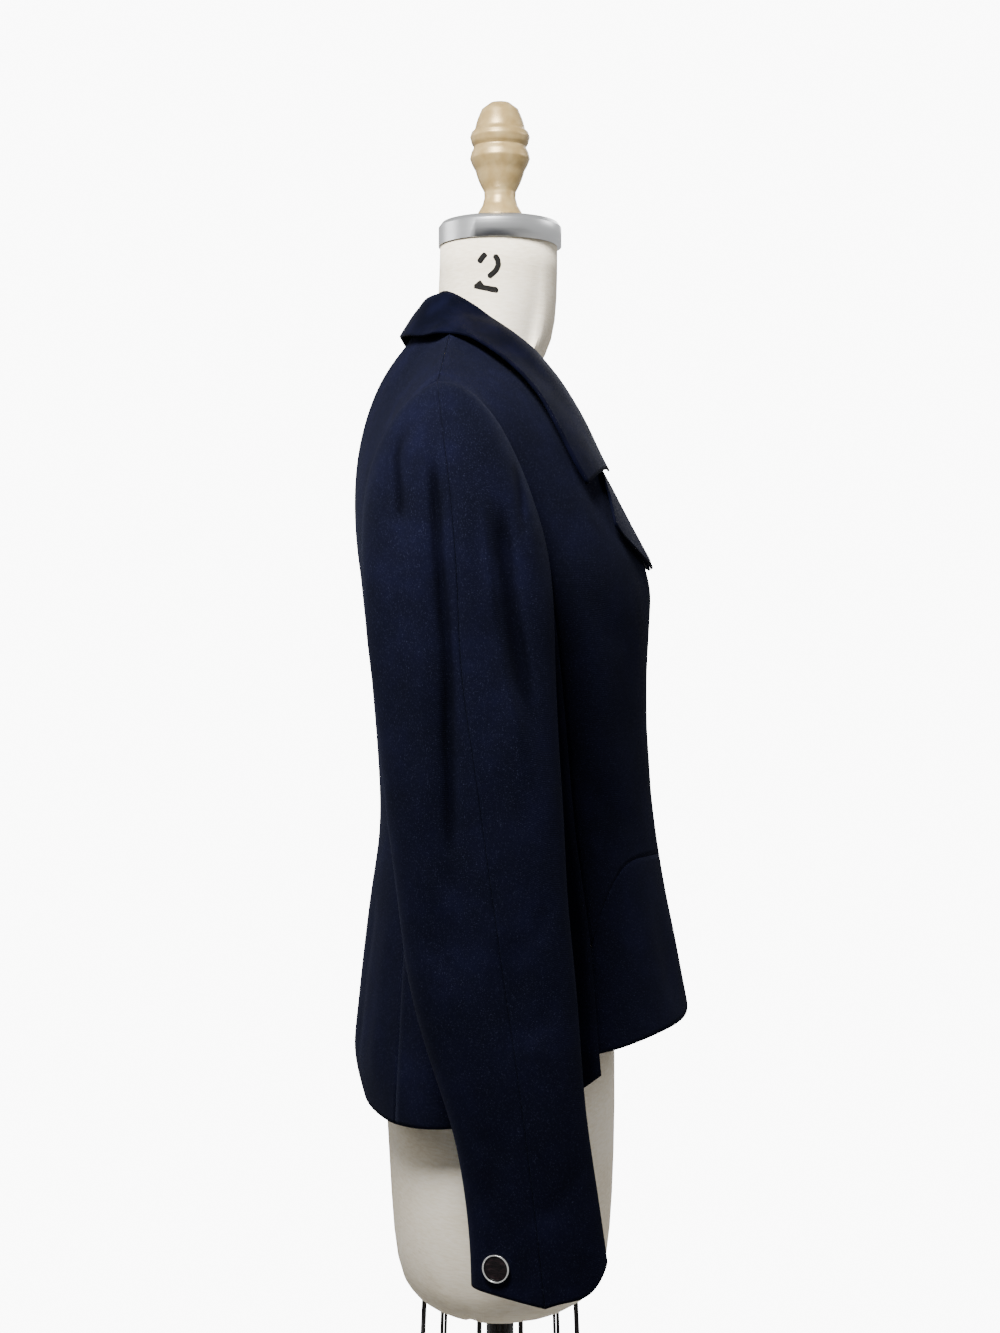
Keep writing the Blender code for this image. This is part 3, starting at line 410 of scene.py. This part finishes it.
# Folds of each sleeve's outer side: trough depth in mm (a ridge is negative), half width, fade at the
# ends, then y and height of its line
sleeveFolds = [
    {"depth": 6.0, "width": 4.2, "fade": 60, "line": [
        (48, 160), (46, 140), (43.5, 112), (42, 79), (39, 46), (36, 14), (35, -20), (34.5, -63), (33, -140),
    ]},
    {"depth": -1.9, "width": 8, "fade": 60, "line": [(60, 130), (57, 70), (53, 10), (50, -60), (52, -140)]},
    {"depth": -1.3, "width": 7, "fade": 60, "line": [(27, 150), (25, 90), (22, 30), (19, -40), (16, -110)]},
    {"depth": 3.8, "width": 4.2, "fade": 25, "line": [(65.7, 174), (70.9, 145), (68.5, 116), (67.5, 90)]},
    {"depth": 1.3, "width": 4, "fade": 18, "line": [(80, 150), (78, 122), (79, 92)]},
    {"depth": -2.2, "width": 3.6, "fade": 45, "line": [
        (12.5, 126), (9.5, 89), (7.5, 63), (4, 35), (1, 18), (-4, -12), (-10.5, -36), (-20, -80),
    ]},
    {"depth": 5.2, "width": 7, "fade": 50, "line": [
        (0, 122), (-2, 89), (-4, 63), (-8, 35), (-12, 10), (-18, -20), (-27, -55),
    ]},
    {"depth": 3.2, "width": 3.2, "fade": 20, "line": [(-9, 150), (-13.6, 116), (-17, 86)]},
    {"depth": -1.2, "width": 4, "fade": 20, "line": [(-18, 130), (-22, 100), (-25, 60)]},
    {"depth": 1.5, "width": 9, "fade": 35, "line": [(66, -96), (46, -136), (16, -166)]},
    {"depth": -1.1, "width": 7, "fade": 30, "line": [(62, -124), (44, -156), (20, -182)]},
    {"depth": 1.6, "width": 10, "fade": 35, "line": [(60, -165), (38, -198), (4, -224)]},
    {"depth": 1.3, "width": 8, "fade": 25, "line": [(-42, -150), (-24, -182), (2, -206)]},
    {"depth": 1.4, "width": 9, "fade": 25, "line": [(-46, -205), (-28, -240), (-2, -264)]},
    {"depth": 1.2, "width": 9, "fade": 30, "line": [(40, -285), (14, -318), (-14, -336)]},
    {"depth": 1.0, "width": 7, "fade": 22, "line": [(-62, -330), (-40, -362), (-14, -380)]},
    {"depth": 1.1, "width": 7, "fade": 30, "line": [(14, -330), (4, -372), (-2, -412)]},
]
# The same for the inner side, which the body hides in the photo: similar ones
innerFolds = [
    {"depth": 2.6, "width": 6, "fade": 40, "line": [(30, 20), (26, -50), (24, -130)]},
    {"depth": 2.0, "width": 8, "fade": 40, "line": [(-8, 10), (-14, -50), (-24, -110)]},
    {"depth": 1.8, "width": 9, "fade": 30, "line": [(60, -60), (40, -120), (14, -160)]},
    {"depth": 1.6, "width": 9, "fade": 30, "line": [(-36, -90), (-12, -150), (10, -190)]},
    {"depth": 1.2, "width": 8, "fade": 25, "line": [(20, -250), (-6, -300), (-24, -340)]},
]
# Folds of the body by x (towards the side) and height, on the front and on the back
frontFolds = [
    {"depth": 1.6, "width": 14, "fade": 30, "line": [(150, 70), (120, 30), (92, 10)]},
    {"depth": 1.3, "width": 10, "fade": 30, "line": [(132, -70), (104, -112), (66, -128)]},
    {"depth": 1.1, "width": 9, "fade": 25, "line": [(128, -118), (96, -138), (54, -140)]},
    {"depth": 1.2, "width": 14, "fade": 40, "line": [(70, -160), (76, -215), (84, -275)]},
    {"depth": -1.0, "width": 14, "fade": 40, "line": [(40, -165), (44, -220), (50, -275)]},
    {"depth": 0.9, "width": 12, "fade": 30, "line": [(150, 165), (118, 132), (96, 96)]},
]
backFolds = [
    {"depth": 2.2, "width": 9, "fade": 30, "line": [(150, 120), (122, 64), (88, 30)]},
    {"depth": -1.2, "width": 8, "fade": 30, "line": [(146, 92), (118, 44), (84, 12)]},
    {"depth": 1.8, "width": 8, "fade": 25, "line": [(140, -60), (96, -98), (50, -110)]},
    {"depth": 1.5, "width": 7, "fade": 25, "line": [(144, -112), (104, -130), (60, -128)]},
    {"depth": 1.6, "width": 12, "fade": 40, "line": [(60, -160), (68, -220), (80, -310)]},
    {"depth": -1.3, "width": 12, "fade": 40, "line": [(104, -170), (116, -230), (130, -315)]},
    {"depth": 1.2, "width": 9, "fade": 20, "line": [(40, 225), (70, 218), (110, 205)]},
]
armholeLine = [
    (66, 172), (54, 182), (40, 190), (24, 194), (8, 188),
    (-4, 174), (-10, 160), (-20, 130), (-28, 100), (-34, 76),
]
# The puckers along it, in mm: a pair is a mean and how much it varies, the spacing's as a share of it
easeSet = {
    "centre": (20, 60),            # the middle of the sleeve's top, which they point at
    "first": 5.0, "spacing": (9.0, 0.35), "fade": 9, "outward": 3,
    "depth": (0.55, 0.35), "width": (2.6, 0.8), "reach": (15, 9), "tilt": 3,
}


def easeFolds(line):
    # short puckers square to a seam, uneven in length and depth, where the sleeve is eased in
    # the factors beside count only keep neighbours unlike each other
    folds = []
    centre = Vector(easeSet["centre"])
    depth, depthVaries = easeSet["depth"]
    width, widthVaries = easeSet["width"]
    reachMean, reachVaries = easeSet["reach"]
    spacing, spacingVaries = easeSet["spacing"]
    walked, nextAt, count = 0.0, easeSet["first"], 0
    for start, end in zip(line, line[1:]):
        start, end = Vector(start), Vector(end)
        length = (end - start).length
        while nextAt < walked + length:
            spot = start.lerp(end, (nextAt - walked) / length)
            inward = (centre - spot).normalized()
            reach = reachMean + reachVaries * math.sin(count * 2.3)
            tilt = Vector((-inward.y, inward.x)) * easeSet["tilt"] * math.sin(count * 1.7)
            folds.append({
                "depth": depth + depthVaries * math.sin(count * 3.1),
                "width": width + widthVaries * math.sin(count * 1.3),
                "fade": easeSet["fade"],
                "line": [tuple(spot - inward * easeSet["outward"]), tuple(spot + inward * reach + tilt)],
            })
            nextAt += spacing * (1 + spacingVaries * math.sin(count * 1.9))
            count += 1
        walked += length
    return folds


sleeveFolds += easeFolds(armholeLine)


def smoothStep(value, low, high):
    share = np.clip((value - low) / (high - low), 0, 1)
    return share * share * (3 - 2 * share)


foldSet = {
    "wander": (0.2, 0.083),    # how much a fold's depth varies along it, and how fast, in radians a mm
    "atEnds": 0.08,            # the share of its depth that a fold keeps at its ends
}


def foldDepth(folds, across, height):
    # across and height are arrays in mm, and so is what comes back
    total = np.zeros(len(across))
    varies, rate = foldSet["wander"]
    kept = foldSet["atEnds"]
    for fold in folds:
        line = [np.array(point, float) for point in fold["line"]]
        steps = [float(np.hypot(*(b - a))) for a, b in zip(line, line[1:])]
        best = np.full(len(across), np.inf)
        walked = np.zeros(len(across))
        before = 0.0
        for a, b, length in zip(line, line[1:], steps):
            run, rise = b - a
            share = ((across - a[0]) * run + (height - a[1]) * rise) / length ** 2
            share = np.clip(share, 0, 1)
            away = np.hypot(across - a[0] - share * run, height - a[1] - share * rise)
            nearer = away < best
            best = np.where(nearer, away, best)
            walked = np.where(nearer, before + share * length, walked)
            before += length
        ends = smoothStep(np.minimum(walked, before - walked), 0, fold["fade"])
        wander = 1 + varies * np.sin(height * rate + fold["width"])
        profile = np.exp(-(best / fold["width"]) ** 2)
        total += fold["depth"] * wander * profile * (kept + (1 - kept) * ends)
    return total


def softWaves(points, reach):
    # a slow unevenness, nearly the same on both faces of a wall and across its seams
    # its factors are only uneven enough that no pattern shows
    x, y, z = (points / reach).T
    return (
        np.sin(6.1 * z + 1.7 * np.sin(4.3 * y + 0.8)) * np.sin(5.2 * y + 1.1 + 0.9 * np.sin(3.7 * z))
        + 0.6 * np.sin(11.3 * z + 2.1 * np.sin(9.7 * y) + 3 * x) * np.sin(10.1 * y + 2.3 * x)
    )


meshSet = {
    "weld": 0.00002,                   # m, within which vertices are one
    "joinAngle": 25, "joinShape": 60,  # degrees, within which two triangles become a quad
    "rimWidth": 0.0023,                # m, a little more than the cloth's 1.8 mm
    "seamReach": 0.0003,               # m that an inner edge moves to its neighbour, over half their gap
    "hardCloth": 60, "hardForm": 50, "hardMetal": 40,   # degrees, above which shading keeps an edge
}


def closeSeams(bm, outward):
    # the gaps between the panels stay as thin dark grooves outside and are shut on the inside
    moves = {}
    for vert in bm.verts:
        rims = [
            face for face in vert.link_faces
            if min(edge.calc_length() for edge in face.edges) < meshSet["rimWidth"]
        ]
        flats = [face for face in vert.link_faces if face not in rims]
        if not rims or not flats:
            continue
        rimNormal = sum((face.normal for face in rims), Vector())
        flatNormal = sum((face.normal for face in flats), Vector())
        if flatNormal.dot(outward(vert.co)) < 0 and rimNormal.length > 0.1:
            moves[vert] = rimNormal.normalized() * meshSet["seamReach"]
    for vert, move in moves.items():
        vert.co += move


def smoothCopy(nodeName, name, levels=2, sharpAngle=50, outward=None):
    # the node's own form on a finer mesh, its corners kept
    piece = bpy.data.objects.new(name, frame["nodes"][nodeName].data.copy())
    bpy.context.collection.objects.link(piece)
    bm = bmesh.new()
    bm.from_mesh(piece.data)
    bmesh.ops.remove_doubles(bm, verts=bm.verts, dist=meshSet["weld"])
    bmesh.ops.join_triangles(
        bm, faces=bm.faces, angle_face_threshold=math.radians(meshSet["joinAngle"]),
        angle_shape_threshold=math.radians(meshSet["joinShape"]),
    )
    bm.normal_update()
    if outward:
        closeSeams(bm, outward)
    crease = bm.edges.layers.float.new("crease_edge")
    for edge in bm.edges:
        if edge.is_manifold and edge.calc_face_angle(0.0) > math.radians(sharpAngle):
            edge[crease] = 1.0
    bm.to_mesh(piece.data)
    bm.free()
    makeActive(piece)
    if levels:
        smoother = piece.modifiers.new("finer", "SUBSURF")
        smoother.levels = levels
        smoother.render_levels = levels
        bpy.ops.object.modifier_apply(modifier="finer")
    return piece


# The rough middle lines of sleeve and body, which tell outer faces from inner ones, in mm
sleeveMiddle = {
    "x": 190, "lean": 36,              # out from the body's middle at the top, and how much further below
    "leanFrom": 201, "leanOver": 120,  # heights over which it leans out
    "y": 30, "forward": 80,            # and how far the wrist comes forward
    "elbow": -100, "forearm": 330, "flatness": 0.6, "capFrom": 150, "capRise": 0.6,
}
bodyMiddle = {"y": 15, "flatness": 1.6}


def sleeveOutward(point):
    side = 1 if point.x > 0 else -1
    height = (point.z - bustZ) / mm
    lean = min(1.0, max(0.0, (sleeveMiddle["leanFrom"] - height) / sleeveMiddle["leanOver"]))
    drop = max(0.0, sleeveMiddle["elbow"] - height) / sleeveMiddle["forearm"]
    middleX = side * (sleeveMiddle["x"] + sleeveMiddle["lean"] * lean) * mm
    middleY = (sleeveMiddle["y"] - sleeveMiddle["forward"] * drop) * mm
    rise = max(0.0, height - sleeveMiddle["capFrom"]) * sleeveMiddle["capRise"] * mm
    return Vector((point.x - middleX, sleeveMiddle["flatness"] * (point.y - middleY), rise))


def bodyOutward(point):
    return Vector((point.x, bodyMiddle["flatness"] * (point.y - bodyMiddle["y"] * mm), 0))


drapeSet = {
    "between": sleeveMiddle["x"] + sleeveMiddle["lean"],   # mm out, between outer folds and inner ones
    "blend": (-4, 12),                 # mm over which they give way to each other
    "capBlend": (20, 60),              # heights over which the outer folds take over all round
    "turnUp": 70, "turnUpOver": (130, 205),   # degrees that the folds of the cap face upwards, and where
    "frontToBack": (-0.01, 0.03),      # m of y over which the front's folds give way to the back's
    "sleeveWaves": (0.45, 0.11), "bodyWaves": (0.4, 0.15),   # their depth in mm and their length in m
    "paintedShade": (0.6, 4.2),               # mm of trough depth over which the painted shade in a fold grows
}


def shapeCloth(piece, kind):
    # both faces of the wall move nearly alike, so that it keeps its thickness
    mesh = piece.data
    points = np.empty(len(mesh.vertices) * 3)
    mesh.vertices.foreach_get("co", points)
    points = points.reshape(-1, 3)
    x, y, z = points.T
    height = (z - bustZ) / mm
    if kind == "sleeve":
        side = np.sign(x)
        outer = np.abs(x) / mm - drapeSet["between"]
        high = smoothStep(height, *drapeSet["capBlend"])
        outside = np.maximum(smoothStep(outer, *drapeSet["blend"]), high)
        inside = smoothStep(-outer, *drapeSet["blend"]) * (1 - high)
        waveDepth, waveReach = drapeSet["sleeveWaves"]
        depth = foldDepth(sleeveFolds, y / mm, height) * outside
        depth += waveDepth * softWaves(points, waveReach) * outside
        innerDepth = foldDepth(innerFolds, y / mm, height) * inside
        tilt = np.radians(drapeSet["turnUp"]) * smoothStep(height, *drapeSet["turnUpOver"])
        directions = np.stack([side * np.cos(tilt), 0 * y, np.sin(tilt)], 1)
        points = points - directions * (depth - innerDepth * np.cos(tilt))[:, None] * mm
    else:
        across = np.abs(x) / mm
        inFront = 1 - smoothStep(y, *drapeSet["frontToBack"])
        waveDepth, waveReach = drapeSet["bodyWaves"]
        depth = foldDepth(frontFolds, across, height) * inFront
        depth += foldDepth(backFolds, across, height) * (1 - inFront)
        depth += waveDepth * softWaves(points, waveReach)
        directions = np.stack([x, bodyMiddle["flatness"] * (y - bodyMiddle["y"] * mm), 0 * y], 1)
        directions /= np.linalg.norm(directions, axis=1)[:, None]
        points = points - directions * depth[:, None] * mm
    mesh.vertices.foreach_set("co", points.ravel())
    # painted shade: each trough's depth is kept for the wool's colour to darken by
    paintedShade = mesh.attributes.new("foldPaintedShade", "FLOAT", "POINT")
    paintedShade.data.foreach_set("value", smoothStep(np.abs(depth), *drapeSet["paintedShade"]) * (depth > 0))
    mesh.update()


clothPieces = {
    "front": {"kind": "body", "flat": (0.25, 0.475), "area": 0.074},
    "front_skirt": {"kind": "body", "flat": (0.20, 0.15), "area": 0.0222},
    "side": {"kind": "body", "flat": (0.17, 0.40), "area": 0.054},
    "back": {"kind": "body", "flat": (0.21, 0.60), "area": 0.090},
    "sleeve_top_front": {"kind": "sleeve", "flat": (0.14, 0.645), "area": 0.064},
    "sleeve_top_back": {"kind": "sleeve", "flat": (0.14, 0.645), "area": 0.066},
    "sleeve_under": {"kind": "sleeve", "flat": (0.12, 0.50), "area": 0.045},
}
made = {}
for pieceName, facts in clothPieces.items():
    for side in sides:
        nodeName = f"{pieceName}_{side}"
        outward = sleeveOutward if facts["kind"] == "sleeve" else bodyOutward
        levels = 3 if facts["kind"] == "sleeve" else 2
        piece = smoothCopy(nodeName, "wool_" + nodeName, levels, outward=outward)
        shapeCloth(piece, facts["kind"])
        shadeSmooth(piece, meshSet["hardCloth"])
        setFinish(piece, finishes["navy_wool"])
        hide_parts(nodeName)
        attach(piece, "root")
        made[nodeName] = piece


armholeSet = {
    "heights": (5, 22),        # mm above the bust over which the pull sets in
    "pull": (3.5, 9),          # mm from the body: all the way within the first, not at all past the second
    "left": 0.1,               # mm that stay between them
}


def setSleeve(side):
    # draw the sleeve's edge in to the armhole, so that no light shows through the seam
    left = armholeSet["left"] * mm
    points, faces = [], []
    for pieceName in ("front", "side", "back"):
        mesh = made[f"{pieceName}_{side}"].data
        faces += [[len(points) + corner for corner in face.vertices] for face in mesh.polygons]
        points += [vertex.co.copy() for vertex in mesh.vertices]
    body = BVHTree.FromPolygons(points, faces)
    for pieceName in ("sleeve_top_front", "sleeve_top_back", "sleeve_under"):
        mesh = made[f"{pieceName}_{side}"].data
        for vertex in mesh.vertices:
            height = (vertex.co.z - bustZ) / mm
            if height < armholeSet["heights"][0]:
                continue
            nearest, _, _, away = body.find_nearest(vertex.co, armholeSet["pull"][1] * mm)
            if nearest is None or away < left:
                continue
            nearness = 1 - smoothStep(away / mm, *armholeSet["pull"])
            pull = float(nearness) * float(smoothStep(height, *armholeSet["heights"]))
            vertex.co += (nearest - vertex.co) * pull * (1 - left / away)
        mesh.update()


for side in sides:
    setSleeve(side)
print("the wool panels are draped and the sleeves set in")

lapelTop = {
    "heights": (128, 150),         # mm above the bust over which the shift sets in
    "outward": 3.5, "back": 5.0, "up": 7.0,
}


def tuckLapel(piece):
    # the top of the lapel goes up under the collar's end
    mesh = piece.data
    points = np.empty(len(mesh.vertices) * 3)
    mesh.vertices.foreach_get("co", points)
    points = points.reshape(-1, 3)
    share = smoothStep((points[:, 2] - bustZ) / mm, *lapelTop["heights"])
    outward = np.sign(points[:, 0]) * lapelTop["outward"]
    shift = np.stack([outward, 0 * share + lapelTop["back"], 0 * share + lapelTop["up"]], 1)
    points += share[:, None] * shift * mm
    mesh.vertices.foreach_set("co", points.ravel())
    mesh.update()


collarPieces = {
    "collar": {"flat": (0.56, 0.062), "area": 0.0318},
    "collar_stand": {"flat": (0.27, 0.026), "area": 0.0055},
    "lapel_right": {"flat": (0.09, 0.10), "area": 0.0054},
    "lapel_left": {"flat": (0.09, 0.10), "area": 0.0054},
}
for nodeName, facts in collarPieces.items():
    piece = smoothCopy(nodeName, "facing_" + nodeName)
    if nodeName.startswith("lapel"):
        tuckLapel(piece)
    shadeSmooth(piece, meshSet["hardCloth"])
    setFinish(piece, finishes["collar_cloth"])
    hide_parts(nodeName)
    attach(piece, "root")
print("collar and lapels are made")


formPiece = smoothCopy("form_torso", "linen_form", levels=1, sharpAngle=70)
shadeSmooth(formPiece, meshSet["hardForm"])
setFinish(formPiece, finishes["form_linen"])
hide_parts("form_torso")
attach(formPiece, "root")
print("the dress form is covered")

# The size numeral stencilled on the neck, in mm on the dress form's middle plane as the camera sees it,
# towards the back and above the bust
numeralStrokes = [
    [(16.3, 319.7), (13.9, 323.4), (11.5, 326.0)],
    [(4.1, 325.0), (1.8, 321.5), (1.3, 317.3), (3.1, 313.2), (8.8, 307.9)],
]
numeralFoot = {
    "upper": [(20.5, 301.6), (15.6, 305.6), (12.6, 301.6), (2.5, 299.9), (1.4, 298.4)],
    "lower": [(20.5, 298.8), (2.5, 295.1), (1.4, 296.4)],
}
numeralSet = {
    "width": 4.3, "longer": 0.8, "roundOver": 1.7, "leastHalf": 0.05,   # mm, of a stroke and its ends
    "rows": 25, "lift": 0.22, "thickness": 0.4,                         # mm, over the linen
}


def strokeRows(line):
    # rows of five points across a brushed stroke with round ends
    points = [Vector(point) for point in line]
    points[0] += (points[0] - points[1]).normalized() * numeralSet["longer"]
    points[-1] += (points[-1] - points[-2]).normalized() * numeralSet["longer"]
    lengths = [(b - a).length for a, b in zip(points, points[1:])]
    total = sum(lengths)
    rows = []
    for i in range(numeralSet["rows"]):
        walked = total * i / (numeralSet["rows"] - 1)
        at = walked
        for start, end, length in zip(points, points[1:], lengths):
            if at <= length + 1e-9:
                spot = start.lerp(end, at / length)
                step = (end - start).normalized()
                break
            at -= length
        toEnd = min(walked, total - walked)
        inwards = min(1.0, toEnd / numeralSet["roundOver"])
        roundness = math.sqrt(max(0.0, 1 - (1 - inwards) ** 2))
        half = numeralSet["width"] / 2 * roundness + numeralSet["leastHalf"]
        rows.append([spot + Vector((-step.y, step.x)) * half * share for share in (-1, -0.5, 0, 0.5, 1)])
    return rows


def footRows():
    # the same for the numeral's foot, between its lower edge and its upper one
    rows = []
    first, last = numeralFoot["upper"][0][0], numeralFoot["upper"][-1][0]
    for i in range(numeralSet["rows"]):
        across = first - (first - last) * i / (numeralSet["rows"] - 1)
        edges = []
        for edge in (numeralFoot["lower"], numeralFoot["upper"]):
            places = sorted(edge)
            edges.append(float(np.interp(across, [p[0] for p in places], [p[1] for p in places])))
        height = edges[1] - edges[0]
        rows.append([Vector((across, edges[0] + height * share)) for share in (0, 0.25, 0.5, 0.75, 1)])
    return rows


def addNumeral():
    points = [vertex.co.copy() for vertex in formPiece.data.vertices]
    surface = BVHTree.FromPolygons(points, [list(face.vertices) for face in formPiece.data.polygons])
    eye = Vector((-cameraSet["distance"], 0, cameraSet["eyeZ"]))
    bm = bmesh.new()
    for rows in [strokeRows(line) for line in numeralStrokes] + [footRows()]:
        grid = []
        for row in rows:
            placed = []
            for spot in row:
                aim = Vector((0, spot.x * mm, bustZ + spot.y * mm)) - eye
                hit, normal, _, _ = surface.ray_cast(eye, aim.normalized())
                placed.append(bm.verts.new(hit + normal * numeralSet["lift"] * mm))
            grid.append(placed)
        for upper, lower in zip(grid, grid[1:]):
            for i in range(4):
                bm.faces.new((upper[i], upper[i + 1], lower[i + 1], lower[i]))
    bmesh.ops.recalc_face_normals(bm, faces=bm.faces)
    bm.normal_update()
    flipped = [face for face in bm.faces if face.normal.x > 0]
    bmesh.ops.reverse_faces(bm, faces=flipped)
    numeral = bpy.data.objects.new("stencilNumeral", bpy.data.meshes.new("stencilNumeral"))
    bpy.context.collection.objects.link(numeral)
    bm.to_mesh(numeral.data)
    bm.free()
    makeActive(numeral)
    body = numeral.modifiers.new("body", "SOLIDIFY")
    body.thickness = numeralSet["thickness"] * mm
    body.offset = -1
    bpy.ops.object.modifier_apply(modifier="body")
    shadeSmooth(numeral, meshSet["hardCloth"])
    setFinish(numeral, finishes["stencilPaint"])
    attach(numeral, "root")


addNumeral()
print("the numeral is stencilled")

washerSet = {
    "radius": 0.0166, "height": 0.0052, "sunk": 0.0008, "bevel": 0.0014,   # m
    "facets": 64, "bevelSteps": 3, "bevelAbove": 40, "hardAbove": 35,      # the last two in degrees
}


def addWasher():
    # the small washer that the finial stands on
    low, high = (Vector(corner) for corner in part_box("finial"))
    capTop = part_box("neck_cap")[1][2]
    deselectAll()
    bpy.ops.mesh.primitive_cylinder_add(
        vertices=washerSet["facets"], radius=washerSet["radius"], depth=washerSet["height"],
        location=(
            (low.x + high.x) / 2, (low.y + high.y) / 2, capTop + washerSet["height"] / 2 - washerSet["sunk"],
        ),
    )
    washer = bpy.context.object
    washer.name = "finialWasher"
    bpy.ops.object.transform_apply(location=True, rotation=True, scale=True)
    edge = washer.modifiers.new("edge", "BEVEL")
    edge.width = washerSet["bevel"]
    edge.segments = washerSet["bevelSteps"]
    edge.angle_limit = math.radians(washerSet["bevelAbove"])
    bpy.ops.object.modifier_apply(modifier="edge")
    shadeSmooth(washer, washerSet["hardAbove"])
    setFinish(washer, finishes["spun_aluminium"])
    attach(washer, "root")


addWasher()

# Turned and drawn metal: copies with levels of subdivision and the least angle that stays a hard edge
roundPieces = {
    "neck_cap": (0, 35), "finial": (2, 14), "pole": (1, 35), "base": (2, 35),
    "cage_hoop_lower": (1, 75), "cage_hoop_middle": (1, 75),
}
for nodeName in frame["nodes"]:
    if nodeName.startswith("cage_wire_"):
        roundPieces[nodeName] = (1, 75)
for nodeName in frame["nodes"]:
    if nodeName.startswith("cuff_button_"):
        roundPieces[nodeName] = (2, 35)
for nodeName, (levels, hardAngle) in roundPieces.items():
    piece = smoothCopy(nodeName, "fine_" + nodeName, levels, sharpAngle=hardAngle)
    shadeSmooth(piece, meshSet["hardMetal"])
    setFinish(piece, finishes[nodeSlots[nodeName]])
    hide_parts(nodeName)
    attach(piece, "root")
print("cap, finial, pole, cage and buttons are turned")
